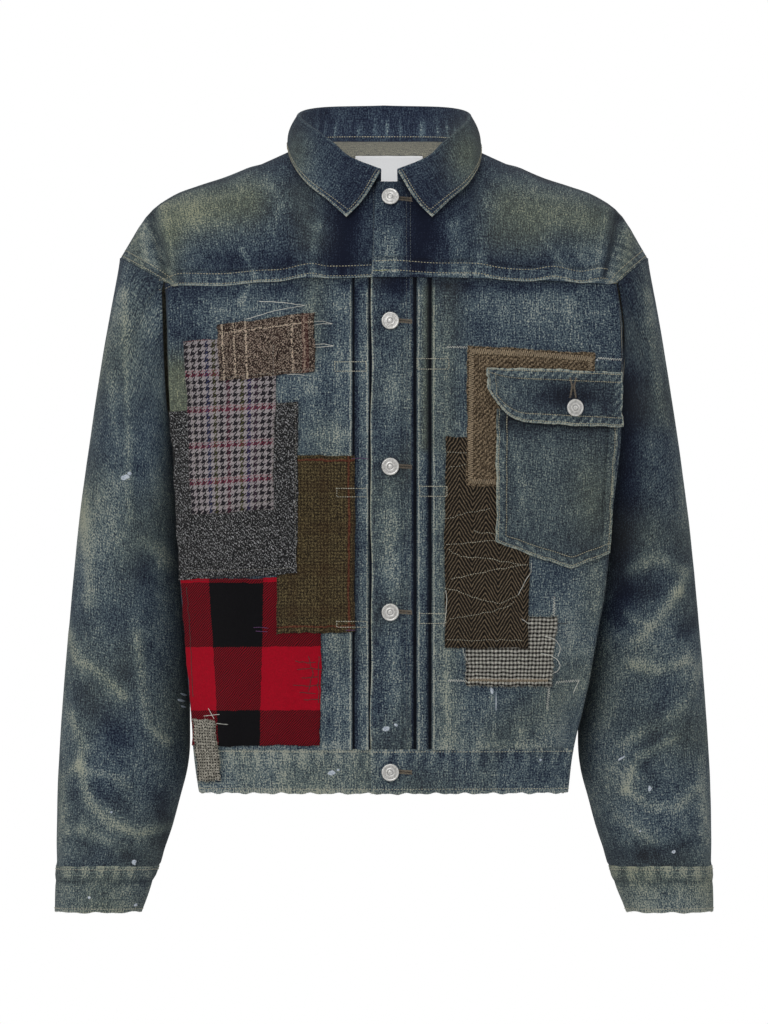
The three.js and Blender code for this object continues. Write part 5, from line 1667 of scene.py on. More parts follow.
patch_grids = {}
for seed, (name, corners) in enumerate([*PATCHES.items(), ("patch_basket", HEM_PATCH)]):
    pieces[name], patch_grids[name] = patch(name, corners, 100 + seed)
    print(name, len(pieces[name].data.polygons), "faces")

# %% [markdown]
# ## The chest pocket and its flap
# The pocket is the same denim, folded under at its edges, so its rim stands twice as thick and has rubbed
# pale. Its foot comes to a point off the middle. The flap's free corner is rounded, and the cloth round its
# button has kept its dye.

# %% Pocket and flap
POCKET = [(107, -225), (223, -225), (215, -362), (107, -352)]
POCKET_POINT, POCKET_DIP, POCKET_CLOTH = 0.66, 19, 1.3
FLAP = [(98, -186), (227, -190), (227, -242), (99, -236)]
FLAP_ROUND, FLAP_ROUND_SHARE, FLAP_CLOTH = 32, 0.27, 1.9
FOLDED_EDGE = 9.0


def pocket_dip(u, v):
    return POCKET_DIP * (1 - v) * np.where(u < POCKET_POINT, u / POCKET_POINT, (1 - u) / (1 - POCKET_POINT))


def flap_dip(u, v):
    return -FLAP_ROUND * (1 - v) * np.clip(1 - u / FLAP_ROUND_SHARE, 0, 1) ** 2


def pocket_body():
    grid, lift, u, v, rim = laid_grid(POCKET, 120, dip=pocket_dip)
    x, z = grid[..., 0], grid[..., 2]
    fold = ease(FOLDED_EDGE + 1.2, FOLDED_EDGE - 0.6, rim)
    bars = band_pucker(x + z, 9, 1.7)
    sag = 1.5 * spot_at(x, z, (160, -300), (34, 30))
    sag = sag + strokes_at(x, z, [([(126, -250), (140, -330)], 8, 0.9)])
    grid = pushed(grid, lift + POCKET_CLOTH + 0.55 * fold + 0.15 * fold * bars + sag)
    laid.append((POCKET, POCKET_CLOTH + 0.5))
    wear = 0.39 + 0.10 * spot_at(x, z, (150, -290), (34, 44)) + 0.05 * unevenness(x, z, 121)
    wear = wear + 0.08 * fold + 0.14 * fold * bars + 0.40 * hump(rim, 0.9)
    wear = wear - 0.14 * ease(-262, -236, z) + strokes_at(x, z, [([(124, -262), (134, -330)], 5, 0.12),
                                                                ([(190, -262), (196, -330)], 6, 0.08)])
    khaki = 0.22 + 0.4 * spot_at(x, z, (200, -310), (24, 46))
    # Painted shade: a dark line where the folded edge ends, and a painted shadow of the flap across the top.
    shade = 0.5 * hump(rim - FOLDED_EDGE - 1, 0.9) + 0.45 * ease(-252, -238, z)
    return shell("chest_pocket", grid, POCKET_CLOTH, DENIM_FACES,
                 marks=dict(wear=wear, khaki=khaki, shade=shade)), grid


def pocket_flap():
    grid, lift, u, v, rim = laid_grid(FLAP, 121, PATCH_REST, 1.9, flap_dip)
    x, z = grid[..., 0], grid[..., 2]
    edge = np.minimum(rim, np.hypot(x - 98, z + 232) * 0.5)
    fold = ease(FOLDED_EDGE + 1.5, FOLDED_EDGE - 0.5, edge)
    bars = band_pucker(x - z, 8, 0.9)
    lower = 1.7 * ease(0.5, 0.0, v) + 0.8 * np.sin(x / 13) * (1 - v)
    dimple = -1.1 * spot_at(x, z, FLAP_BUTTON, (11, 10))
    grid = pushed(grid, lift + FLAP_CLOTH + 0.4 * fold + 0.14 * fold * bars + lower + dimple)
    laid.append((FLAP, FLAP_CLOTH + 1.0))
    wear = 0.43 + 0.08 * fold + 0.16 * fold * bars + 0.44 * hump(edge, 0.9)
    wear = wear - 0.36 * spot_at(x, z, (174, -214), (28, 12)) - 0.10 * spot_at(x, z, (208, -218), (22, 12))
    wear = wear + 0.10 * spot_at(x, z, (118, -208), (14, 14))
    # Painted shade: a dark line where the folded edge ends, and a patch of it round the buttonhole.
    shade = 0.4 * hump(edge - FOLDED_EDGE - 1, 0.9) + 0.3 * spot_at(x, z, (180, -205), (26, 9))
    return shell("pocket_flap", grid, FLAP_CLOTH, DENIM_FACES,
                 marks={"wear": wear, "khaki": 0.15 + 0 * wear, "shade": shade}), grid


pieces["chest_pocket"], pocket_grid = pocket_body()
pieces["pocket_flap"], flap_grid = pocket_flap()
print("pocket", round(POCKET[1][0] - POCKET[0][0]), "mm wide")

# %% [markdown]
# ## Buttons
# A shank button is a turned metal cap pressed on a tack. The cap could be bevelled from a disc, but it is
# rings all the way in, so it is a profile turned round an axis: a rolled rim, a channel with fine ribs, and
# a raised ring round a small dome. The cap is plain, with nothing struck on it but the ribs.

# %% Buttons
BUTTON_RINGS = [
    # radius, height
    (0.0, 3.75), (1.3, 3.72), (1.9, 3.5), (2.3, 3.28), (2.9, 3.3), (3.3, 3.62), (3.9, 3.66), (4.3, 3.34),
    (4.8, 3.26), (5.6, 3.28), (6.3, 3.26), (6.7, 3.36), (7.1, 3.68), (7.7, 3.66), (8.15, 3.3), (8.35, 2.75),
    (8.2, 2.2), (7.2, 1.9), (4.6, 1.75), (3.4, 1.5), (3.1, 0.9), (3.1, 0.1), (0.0, 0.05)]
BUTTON_TURNS = 72
RIB_COUNT = 30
RIB_ZONE = (4.7, 6.5)

button_metal, tree, shader = new_material("struck_metal", {"Metallic": 0.55})
places = node(tree, "ShaderNodeTexCoord").outputs["Object"]
smudge, scuff = noise(tree, places, 420.0, 4.0), noise(tree, places, 2600.0, 2.0)
tarnish = ramp(tree, smudge, [(0.3, "c9c8c2"), (0.5, "eceae6"), (0.7, "f6f5f2")])
hollow = node(tree, "ShaderNodeAttribute", attribute_name="shade").outputs["Fac"]
tree.links.new(blend(tree, hollow, tarnish, tone("77767a")), shader.inputs["Base Color"])
tree.links.new(calc(tree, "MULTIPLY_ADD", scuff, 0.3, 0.26), shader.inputs["Roughness"])
relief = node(tree, "ShaderNodeBump", {"Strength": 0.3, "Distance": 0.00008, "Height": scuff})
tree.links.new(relief.outputs[0], shader.inputs["Normal"])


def yoke_front(x, z):
    """The slope of the left yoke at a place seen from the front: it leans back towards the neck."""
    ups = np.linspace(0, 1, 400)
    share = x / edge_x(1, YOKE_Z)
    for turn in range(5):
        line = yoke_place(1, np.full(ups.shape, share), ups)
        spot = np.stack([np.interp(z, line[:, 2], line[:, axis]) for axis in range(3)])
        share = share + (x - spot[0]) / edge_x(1, YOKE_Z)
    return spot


def front_frame(x, z, face):
    """The way out, the way across and the way up at a place on the front, as unit vectors."""
    spot = face(x, z)
    right, up = face(x + 1, z) - spot, face(x, z + 1) - spot
    out = np.cross(right, up)
    out /= np.linalg.norm(out)
    right -= out * right.dot(out)
    right /= np.linalg.norm(right)
    return out, right, np.cross(out, right)


def shank_button(name, x, z, turn):
    """The cap stands where the solid one does, turned a little, as buttons are."""
    low, high = (np.array(corner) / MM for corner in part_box(name))
    out, right, up = front_frame(x, z, yoke_front if z > YOKE_Z else front)
    middle = (low + high) / 2
    radii = np.array([radius for radius, _ in BUTTON_RINGS])
    heights = np.array([height for _, height in BUTTON_RINGS]) - 2.0
    turns = np.linspace(0, 2 * math.pi, BUTTON_TURNS, endpoint=False) + turn
    radius, theta = np.meshgrid(radii[1:-1], turns, indexing="ij")
    height = np.broadcast_to(heights[1:-1, None], radius.shape).copy()
    order = np.arange(len(radii))[1:-1, None]
    ribbed = (radius > RIB_ZONE[0]) & (radius < RIB_ZONE[1]) & (order < 14)
    height += 0.2 * ribbed * np.clip(np.sin(RIB_COUNT * theta), 0, 1)
    flat = radius[..., None] * (np.cos(theta)[..., None] * right + np.sin(theta)[..., None] * up)
    rings = (middle + flat + height[..., None] * out).reshape(-1, 3)
    points = np.concatenate([rings, [middle + heights[0] * out, middle + heights[-1] * out]])
    count = len(radii) - 2
    face, mesh = [], bpy.data.meshes.new("cap_" + name)
    for j in range(BUTTON_TURNS):
        k = (j + 1) % BUTTON_TURNS
        face.append((len(points) - 2, j, k))
        face.append((len(points) - 1, (count - 1) * BUTTON_TURNS + k, (count - 1) * BUTTON_TURNS + j))
        face += [(i * BUTTON_TURNS + j, (i + 1) * BUTTON_TURNS + j, (i + 1) * BUTTON_TURNS + k,
                  i * BUTTON_TURNS + k)
                 for i in range(count - 1)]
    mesh.from_pydata((points * MM).tolist(), [], face)
    mesh.materials.append(button_metal)
    mesh.polygons.foreach_set("use_smooth", np.ones(len(face), bool))
    dark = np.where((radius > RIB_ZONE[0]) & (radius < 6.6) & (order < 14), 0.42, 0.0)
    dark = np.where((np.abs(radius - 2.5) < 0.45) & (order < 14), 0.6, dark)
    dark = dark * (1 - 0.55 * ribbed * (np.sin(RIB_COUNT * theta) > 0.2))
    layer = mesh.attributes.new("shade", "FLOAT", "POINT")
    layer.data.foreach_set("value", np.append(dark.ravel(), [0.15, 0]).astype(np.float32))
    return link(bpy.data.objects.new("cap_" + name, mesh))


button_places = {"button_" + str(i + 1): (BUTTON_X, z) for i, z in enumerate(BUTTON_Z)}
button_places["button_flap"] = FLAP_BUTTON
for i, (name, (x, z)) in enumerate(button_places.items()):
    pieces[name] = shank_button(name, x, z, 0.7 * i)
print("buttons:", len(button_places))

# %% [markdown]
# ## Stitches
# Thousands of stitches follow the seams, all the same length and thickness, so Geometry Nodes set them. The
# seam is drawn as a line of edges just over the cloth. The tree turns it into a curve, puts a point at every
# stitch, and sets a small grain of thread along the line at each one. Its inputs are the stitch's own sizes.

# %% Geometry Nodes helpers
def new_tree(name, inputs):
    """A Geometry Nodes tree with a mesh going in and out, and named inputs with their defaults."""
    tree = bpy.data.node_groups.new(name, "GeometryNodeTree")
    tree.interface.new_socket("Geometry", in_out="OUTPUT", socket_type="NodeSocketGeometry")
    tree.interface.new_socket("Geometry", in_out="INPUT", socket_type="NodeSocketGeometry")
    sockets = {}
    for title, kind, default in inputs:
        socket = tree.interface.new_socket(title, in_out="INPUT", socket_type="NodeSocket" + kind)
        if default is not None:
            socket.default_value = default
        sockets[title] = socket.identifier
    return tree, sockets, tree.nodes.new("NodeGroupInput").outputs, tree.nodes.new("NodeGroupOutput").inputs


def grown(name, lines, tree, sockets, values, outward=None):
    """Runs a tree on some lines of places, in millimetres, and keeps the result as a plain mesh."""
    points = np.concatenate(lines)
    edges, first = [], 0
    for line in lines:
        edges += [(first + i, first + i + 1) for i in range(len(line) - 1)]
        first += len(line)
    host_mesh = bpy.data.meshes.new(name + "_lines")
    host_mesh.from_pydata((points * MM).tolist(), edges, [])
    if outward is not None:
        layer = host_mesh.attributes.new("outward", "FLOAT_VECTOR", "POINT")
        layer.data.foreach_set("vector", np.concatenate(outward).astype(np.float32).ravel())
    host = link(bpy.data.objects.new(name + "_host", host_mesh))
    modifier = host.modifiers.new("grow", "NODES")
    modifier.node_group = tree
    for title, value in values.items():
        modifier[sockets[title]] = value
    depsgraph = bpy.context.evaluated_depsgraph_get()
    result = bpy.data.meshes.new_from_object(host.evaluated_get(depsgraph))
    result.name = name
    host.modifiers.remove(modifier)
    bpy.data.objects.remove(host)
    return link(bpy.data.objects.new(name, result))


def spread_along(tree, step):
    """The tree's incoming edges as a curve, with a point at every step."""
    curve = node(tree, "GeometryNodeMeshToCurve", {"Mesh": given["Geometry"]}).outputs[0]
    return node(tree, "GeometryNodeResampleCurve", {"Curve": curve, "Length": given[step]}, mode="LENGTH")


def random_between(tree, low, high):
    """A random vector, or a random number, that the tree's Seed picks."""
    kind, keys = ("FLOAT_VECTOR", ("Min", "Max")) if isinstance(low, tuple) else ("FLOAT", (2, 3))
    made = node(tree, "FunctionNodeRandomValue", {keys[0]: low, keys[1]: high, "Seed": given["Seed"]},
                data_type=kind)
    return made.outputs[0 if isinstance(low, tuple) else 1]


def set_on(tree, spaced, instance, rotation, scale):
    """Copies of one small shape on a curve's points, made real."""
    placed = node(tree, "GeometryNodeInstanceOnPoints", {
        "Points": spaced.outputs[0], "Instance": instance, "Rotation": rotation, "Scale": scale}).outputs[0]
    return node(tree, "GeometryNodeRealizeInstances", {0: placed}).outputs[0]


# %% Tree: stitch_line
stitch_tree, stitch_sockets, given, out = new_tree("stitch_line", [
    ("Pitch", "Float", 0.003), ("Filled", "Float", 0.75), ("Thickness", "Float", 0.0007),
    ("Seed", "Int", 1), ("Thread", "Material", None)])
spaced = spread_along(stitch_tree, "Pitch")
along = node(stitch_tree, "GeometryNodeInputTangent").outputs[0]
facing = node(stitch_tree, "FunctionNodeAlignRotationToVector", {"Vector": along}, axis="X").outputs[0]
wobble = random_between(stitch_tree, (-0.12, -0.12, -0.12), (0.12, 0.12, 0.12))
turned = node(stitch_tree, "FunctionNodeRotateRotation", {0: facing, 1: wobble}).outputs[0]
half_length = calc(stitch_tree, "MULTIPLY", calc(stitch_tree, "MULTIPLY", given["Pitch"], given["Filled"]),
                   0.5)
half_thick = calc(stitch_tree, "MULTIPLY", given["Thickness"], 0.5)
size = node(stitch_tree, "ShaderNodeCombineXYZ", {0: half_length, 1: half_thick, 2: half_thick}).outputs[0]
varied = random_between(stitch_tree, 0.82, 1.12)
size = scaled(stitch_tree, size, varied)
stitch = node(stitch_tree, "GeometryNodeMeshUVSphere", {"Segments": 6, "Rings": 4, "Radius": 1.0}).outputs[0]
real = set_on(stitch_tree, spaced, stitch, turned, size)
soft = node(stitch_tree, "GeometryNodeSetShadeSmooth", {0: real}).outputs[0]
dressed = node(stitch_tree, "GeometryNodeSetMaterial",
               {"Geometry": soft, "Material": given["Thread"]}).outputs[0]
stitch_tree.links.new(dressed, out[0])
print("stitch_line inputs:", ", ".join(stitch_sockets))

# %% Threads
def thread_material(name, code):
    """Cotton thread: one dyed colour, with its twist as fine light and dark."""
    material, tree, shader = new_material(name, {"Roughness": 0.8, "Sheen Weight": 0.2})
    places = node(tree, "ShaderNodeTexCoord").outputs["Object"]
    twist, slow = noise(tree, places, 900.0, 1.0), noise(tree, places, 40.0, 1.0)
    gain = calc(tree, "ADD", calc(tree, "ADD", around_zero(tree, twist, 0.8), around_zero(tree, slow, 1.2)),
                1.0)
    tree.links.new(scaled(tree, tone(code)[:3], gain), shader.inputs["Base Color"])
    return material


THREADS = {name: thread_material(name + "_thread", code) for name, code in (
    ("cream", "c0bdab"), ("tan", "b0aa92"), ("faded", "5c6468"), ("dark", "37312c"), ("red", "6d1a22"),
    ("white", "e2e2da"), ("plum", "5d3566"), ("lime", "7f8548"), ("dim", "8f8c82"), ("beige", "b7a488"),
    ("brown", "4a3c2e"), ("hole", "7d7263"), ("black", "0d0d10"))}
print("threads:", ", ".join(THREADS))


def line_on(grid, handed, cells, lift=0.15):
    """A line over a grid's cloth, through fractional (row, column) cells, just off its surface."""
    rows, cols = np.array(cells, float).T
    i = np.clip(rows.astype(int), 0, grid.shape[0] - 2)
    j = np.clip(cols.astype(int), 0, grid.shape[1] - 2)
    fi, fj = (rows - i)[:, None], (cols - j)[:, None]
    normal = normals_of(grid, False, handed)

    def at(table):
        low = mix(table[i, j], table[i, j + 1], fj)
        return mix(low, mix(table[i + 1, j], table[i + 1, j + 1], fj), fi)

    return at(grid) + at(normal) * lift


def seam_down(grid, handed, distance, first):
    """A stitch line a distance in from the last column, from a share of the way up to the top."""
    turned = np.swapaxes(grid, 0, 1)
    steps = np.linalg.norm(np.diff(turned, axis=0), axis=-1)[::-1]
    run = np.concatenate([np.zeros((1, turned.shape[1])), np.cumsum(steps, axis=0)])
    found = np.array([np.interp(distance, run[:, c], np.arange(len(run))) for c in range(turned.shape[1])])
    cols = np.linspace(first, 1.0, 3 * turned.shape[1]) * (turned.shape[1] - 1)
    rows = np.interp(cols, np.arange(turned.shape[1]), turned.shape[0] - 1 - found)
    return line_on(turned, -handed, np.stack([rows, cols], 1))


STITCH_PITCH = 2.9


def stitched(name, seed, lines, thread="cream", pitch=STITCH_PITCH, filled=0.74, thickness=0.8):
    """A named set of stitch lines, kept with the others."""
    values = {"Pitch": pitch * MM, "Filled": filled, "Thickness": thickness * MM, "Seed": seed,
              "Thread": THREADS[thread]}
    extras[name] = grown(name, lines, stitch_tree, stitch_sockets, values)
    print(name, len(extras[name].data.polygons), "faces")


extras = {}
print("a seam of 100 mm has", round(100 / STITCH_PITCH), "stitches")

# %% [markdown]
# Most seams are drawn as (x, z) places seen from the front and dropped straight back onto whatever cloth is
# uppermost there. So a line of stitches climbs over a pleat or a patch as a real one does. Seams round the
# collar, the hem and the cuffs follow their grids instead, because those turn out of sight.

# %% Dropping lines onto the cloth
def searchable(names):
    """The named pieces as one surface that a straight line can be tried against, in metres."""
    points, faces, first = [], [], 0
    for name in names:
        mesh = pieces[name].data
        flat = np.zeros(3 * len(mesh.vertices))
        mesh.vertices.foreach_get("co", flat)
        points += flat.reshape(-1, 3).tolist()
        faces += [[first + v for v in polygon.vertices] for polygon in mesh.polygons]
        first += len(mesh.vertices)
    return BVHTree.FromPolygons(points, faces)


FRONT_NAMES = [name for name in pieces if not name.startswith(("back", "button", "neck"))]
front_surface = searchable(FRONT_NAMES)
DROP_STEP = 0.8


def finely(line, step=DROP_STEP):
    """The same line of places with points a short step apart."""
    line = np.array(line, float)
    lengths = np.linalg.norm(np.diff(line, axis=0), axis=1)
    run = np.concatenate([[0], np.cumsum(lengths)])
    even = np.linspace(0, run[-1], max(2, round(run[-1] / step) + 1))
    return np.stack([np.interp(even, run, line[:, k]) for k in range(line.shape[1])], 1)


def dropped(line, lift=0.18, step=DROP_STEP):
    """A line of (x, z) places, dropped back onto the uppermost cloth, in millimetres."""
    found = []
    for x, z in finely(line, step):
        spot, normal, _, _ = front_surface.ray_cast((x * MM, -1.0, z * MM), (0.0, 1.0, 0.0))
        if spot is not None:
            normal = normal if normal.y < 0 else -normal
            found.append(np.array(spot) / MM + lift * np.array(normal))
    return np.array(found)


def crooked(line, amount, seed):
    """A hand-sewn line wanders a little between its points."""
    rng = np.random.default_rng(seed)
    fine = finely(line, 4.0)
    shift = rng.normal(0, amount, fine.shape)
    shift[[0, -1]] = 0
    return fine + shift


def zigzag(line, width, pitch):
    """A machine zigzag along a line, as its corner points."""
    fine = finely(line, pitch / 2)
    along = np.gradient(fine, axis=0)
    across = np.stack([-along[:, 1], along[:, 0]], 1) / np.linalg.norm(along, axis=1, keepdims=True)
    side = np.where(np.arange(len(fine)) % 2, 0.5, -0.5)[:, None]
    return fine + across * side * width


# %% Denim seams
YOKE_ROWS, ARMHOLE_ROWS = (1.7, 11.0), (1.7, 7.5)
HEM_ROWS, CUFF_ROWS = (1.2, 13.4), (1.0, 14.0)


def yoke_lines(side):
    """Two rows along the felled edge, and two beside the sleeve."""
    start = PLACKET_EDGE_X + 2 if side > 0 else UNDERLAP_X - 3
    out = np.arange(start, 216, 2.0)
    rows = [dropped(np.stack([side * out, YOKE_EDGE[side](out) + row], 1)) for row in YOKE_ROWS]
    grid = yoke_grids[side]
    rows += [seam_down(grid, side, distance, 0.1) for distance in ARMHOLE_ROWS]
    return rows


def placket_lines():
    down = np.arange(-548, -104, 3.0)
    rows = [np.stack([PLACKET_EDGE_X + 2.0 + edge_wave(down), down], 1)]
    rows += [np.array([(x, -548), (x + 0.4, -330), (x, -20)]) for x in (21.4, 25.2)]
    rows.append(np.array([(PLACKET_EDGE_X + 1.8, -92), (PLACKET_EDGE_X + 2.2, -60),
                          (PLACKET_EDGE_X + 2, -14)]))
    return [dropped(row) for row in rows]


def hem_line(grid, inset, start=1.0, open_side=False):
    """Down one side of a laid piece and along its foot, a distance in from its edges; then up the other."""
    rows, cols = grid.shape[0] - 1, grid.shape[1] - 1
    r = inset / np.linalg.norm(np.diff(grid[:, cols // 2], axis=0), axis=1).sum() * rows
    c = inset / np.linalg.norm(np.diff(grid[rows // 2], axis=0), axis=1).sum() * cols
    path = [(rows * start, c), (r, c)]
    path += [(r, cols * 0.99)] if open_side else [(r, cols - c), (start * rows, cols - c)]
    return line_on(grid, 1, finely(path, 0.4), 0.2)


def flap_row(share):
    """Across the flap, a share of its height up."""
    rows, cols = flap_grid.shape[0] - 1, flap_grid.shape[1] - 1
    up = rows * share
    return line_on(flap_grid, 1, finely([(up, cols * 0.02), (up, cols * 0.98)], 0.4), 0.2)


def collar_line(inset):
    """Up one front edge of the fall, along its outer edge and down the other front edge."""
    tall = np.linalg.norm(np.diff(collar_grid[collar_overs >= 2], axis=0), axis=-1).sum(0).mean()
    wide = np.linalg.norm(np.diff(collar_grid[-1], axis=0), axis=-1).sum()
    over, around = 3 - inset / tall, 1 - 2 * inset / wide
    path = finely([(2.02, -around), (over, -around), (over, around), (2.02, around)], 0.012)
    cells = np.stack([np.interp(path[:, 0], collar_overs, np.arange(len(collar_overs))),
                      np.interp(path[:, 1], collar_arounds, np.arange(len(collar_arounds)))], 1)
    return line_on(collar_grid, 1, cells, 0.2)


def box(x0, x1, z0, z1):
    return [(x0, z0), (x1, z0), (x1, z1), (x0, z1), (x0, z0)]


PLEAT_BOXES = [box(-47, -17, -180, -189), box(-45, -16, -301, -309), box(-45, -16, -428, -433.5),
               box(32, 62, -177, -187), box(34, 60, -299, -308.5), box(34, 59, -420.5, -430)]
stand_row = line_on(collar_grid, 1, finely([(1.6, 40), (1.6, 120)], 0.5), 0.2)
hem_rows = [line_on(band_grid, -1, finely([(row, 1), (row, band_grid.shape[1] - 2)], 0.5), 0.25)
            for row in HEM_ROWS]
cuff_rows = [line_on(np.concatenate([grid, grid[:, :1]], 1), side,
                     finely([(row, 0), (row, grid.shape[1])], 0.5), 0.25)
             for side, grid in cuff_grids.items() for row in CUFF_ROWS]
pocket_rows = [hem_line(pocket_grid, 2.2), hem_line(pocket_grid, 10.2, open_side=True), flap_row(0.97),
               flap_row(0.82), hem_line(flap_grid, 1.6, 0.97, True), hem_line(flap_grid, 8.4, 0.82, True)]
stitched("stitches_yoke", 3, yoke_lines(1) + yoke_lines(-1), "tan")
stitched("stitches_closure", 4, placket_lines(), "faded", thickness=0.62)
stitched("stitches_pleats", 5, [dropped(line, 0.3) for line in PLEAT_BOXES], "cream", 2.3, 0.86, 0.9)
stitched("stitches_collar", 6, [collar_line(1.1), collar_line(4.2), stand_row], "tan", 2.6)
stitched("stitches_waistband", 7, hem_rows)
stitched("stitches_cuffs", 8, cuff_rows)
stitched("stitches_pocket", 9, pocket_rows, "tan", 2.4, 0.86, 0.84)

# %% [markdown]
# ## Mending threads
# What makes the jacket look mended by hand is the loose thread: rows of running stitches that wander over a
# patch, machine zigzags that run past its corner, ends left long. Each is a line of (x, z) places dropped
# onto the cloth. A running stitch has gaps, and a loose thread is the same tree with its grains touching.

# %% Running stitches, zigzags and loose threads
RUNNING = dict(pitch=2.3, filled=0.66, thickness=0.66)
LOOSE = dict(pitch=1.1, filled=1.5, thickness=0.66)
ZIGZAG = dict(pitch=0.9, filled=1.5, thickness=0.48)

HERRINGBONE_ROWS = [
    [(61, -266.3), (78.4, -266.9)], [(62, -281.7), (77.2, -278)], [(59, -330), (81, -324), (100.5, -320.2)],
    [(87, -341.6), (105.4, -344.6)], [(60, -354.5), (96.8, -351.4), (105.4, -350.8)],
    [(62.5, -359.4), (73.5, -366.7), (96.8, -367.3), (130, -374), (140, -373.4)],
    [(65, -387.5), (93, -381.4), (120, -376), (134.8, -374)],
    [(58, -396), (73.5, -399.7), (89.5, -406), (103, -409.5), (112.7, -411.4), (128.6, -402.2)],
    [(63.7, -425.5), (81, -422.4), (100.5, -418.8), (117.6, -414.5), (123.7, -409.5)],
    [(61, -445.5), (100, -446), (131, -446.5)],
]
TWEED_ROWS = [
    [(-102, -221), (-84, -220)], [(-84.5, -222), (-84.5, -300), (-84.5, -376)],
    [(-190, -380), (-140, -379), (-86, -377)],
    [(-105.5, -165), (-106, -240), (-107.5, -312)], [(-187, -165), (-184, -215), (-179, -300)],
    [(-178, -318), (-140, -317), (-108, -313)], [(-154, -195), (-110, -191), (-69, -187)],
]
CREAM_ENDS = [
    [(-119, -122), (-96, -123.4), (-76, -126)], [(-76, -126), (-104, -131), (-132, -139)],
    [(-67, -141.5), (-58, -141), (-50, -143.4)], [(-67, -145), (-60, -143.6), (-50, -143.8)],
    [(-66, -163.5), (-57, -163), (-49, -164.6)], [(-66, -166), (-58, -165.6), (-49, -165)],
    [(-92, -192), (-84, -191.6), (-76, -193)],
    [(141, -373), (140.3, -381.4), (134.8, -390), (128.6, -402.2)],
    [(59, -399), (60, -409), (58.6, -424), (57, -433)],
    [(154.4, -442.7), (161, -444), (166.4, -448), (169.1, -454.8), (166.7, -461)],
    [(150.7, -459.2), (158, -460), (165, -464), (169.1, -469.5), (166.7, -475.7), (161.7, -478)],
    [(75.4, -453.7), (76.6, -460), (79.4, -466)], [(186.8, -484.8), (181.9, -495.9)],
    [(-168, -512), (-163, -521)], [(-160, -526), (-150, -527)], [(-172, -519), (-158, -517.4)],
    [(132, -426), (139, -431), (141, -429)],
]
WHITE_ZIGZAGS = [
    ([(60, -165.8), (80, -166.2)], 2.0, 2.2), ([(204.6, -176), (228, -177.6)], 2.0, 2.2),
    ([(61.3, -484.4), (79.1, -484.8)], 2.0, 2.2), ([(164.7, -486.7), (186.8, -484.8)], 2.0, 2.2),
    ([(162.9, -404.6), (162.3, -423)], 2.2, 2.4), ([(158, -491.6), (156.2, -512.4)], 2.0, 2.2),
]
BEIGE_ZIGZAGS = [
    ([(82, -169.6), (140, -172), (199, -177)], 5.0, 2.0),
    ([(83.5, -172), (83, -230), (82.5, -294)], 4.6, 2.1),
    ([(197.5, -176), (197.5, -188)], 4.4, 2.1), ([(84, -294.5), (106, -294.5)], 4.6, 2.1),
    ([(81, -484), (120, -484.6), (157, -484.6)], 2.6, 1.7),
]
DARK_ENDS = [
    [(-84, -466), (-74, -468), (-66, -467)], [(-82, -474), (-70, -473), (-58, -475)],
    [(-78, -482), (-64, -481)],
    [(-86, -489), (-72, -490), (-57, -488)], [(-80, -496), (-66, -497)], [(-76, -503), (-62, -502.5)],
    [(-62, -462), (-63, -480), (-62.5, -505)], [(-72, -462), (-68, -478), (-72, -494)],
    [(-189, -396), (-186, -440), (-183, -500)], [(166, -430), (172, -431), (176, -429.5)],
]
PLUM_ENDS = [[(-124, -434), (-117, -433.6), (-111, -434.6)], [(-122, -437.4), (-112, -438)],
             [(-30, -272.6), (-22, -272), (-15, -272.8)], [(-28, -436.4), (-36, -436.4)]]
RED_ROWS = [[(-192, -160.6), (-180, -159.6), (-167, -158.6)], [(-186, -389), (-150, -388.4), (-106, -387.6)]]
SEAM_END = [[(-8, -92.4), (-3, -92.8), (3, -92.2)]]


def hand_sewn(lines, seed, amount=0.35):
    return [dropped(crooked(line, amount, seed + i)) for i, line in enumerate(lines)]


# %% Buttonholes
# Each is a slit, drawn as black thread that is painted shadow in the gap, with dense zigzags round it: across
# the closing band, and down the flap.
HOLE_NEAR, HOLE_FAR = 14.0, 25.5
FLAP_HOLE = (180.8, -196, -214)


def buttonhole_lines():
    rims, slits = [], []
    for z in BUTTON_Z:
        near, far = (HOLE_NEAR, z + 0.5), (HOLE_FAR, z - 0.5)
        for shift in (1.15, -1.15):
            rims.append(zigzag([(near[0], near[1] + shift), (far[0], far[1] + shift)], 1.7, 0.85))
        rims.append(zigzag([(far[0] + 0.4, far[1] + 1.9), (far[0] + 0.4, far[1] - 1.9)], 1.6, 0.8))
        slits.append([near, far])
    x, top, bottom = FLAP_HOLE
    for side in (-1, 1):
        rims.append(zigzag([(x + 2.9 * side, top + 1), (x + 0.9 * side, top - 7), (x + 2.7 * side, bottom)],
                           1.6, 0.85))
    slits.append([(x, top - 8), (x, bottom)])
    return rims, slits


hole_rims, hole_slits = buttonhole_lines()
stitched("threads_running", 20, hand_sewn(HERRINGBONE_ROWS, 20, 0.5), "cream", **RUNNING)
stitched("threads_tweed", 21, hand_sewn(TWEED_ROWS, 40), "dim", **RUNNING)
stitched("threads_loose", 22, hand_sewn(CREAM_ENDS, 60, 0.15), "white", **LOOSE)
for name, seed, thread, rows in (("zigzag", 23, "white", WHITE_ZIGZAGS),
                                 ("overlock", 24, "beige", BEIGE_ZIGZAGS)):
    stitched("threads_" + name, seed, [dropped(zigzag(*row), step=0.5) for row in rows], thread, **ZIGZAG)
stitched("threads_dark", 25, hand_sewn(DARK_ENDS, 80), "dark", **LOOSE)
stitched("threads_plum", 26, hand_sewn(PLUM_ENDS, 90, 0.1), "plum", **LOOSE)
stitched("threads_red", 27, hand_sewn(RED_ROWS, 95, 0.1), "red", **RUNNING)
stitched("threads_lime", 28, hand_sewn(SEAM_END, 97, 0.1), "lime", **LOOSE)
stitched("buttonholes", 29, [dropped(rim, 0.25, 0.4) for rim in hole_rims], "hole", **ZIGZAG)
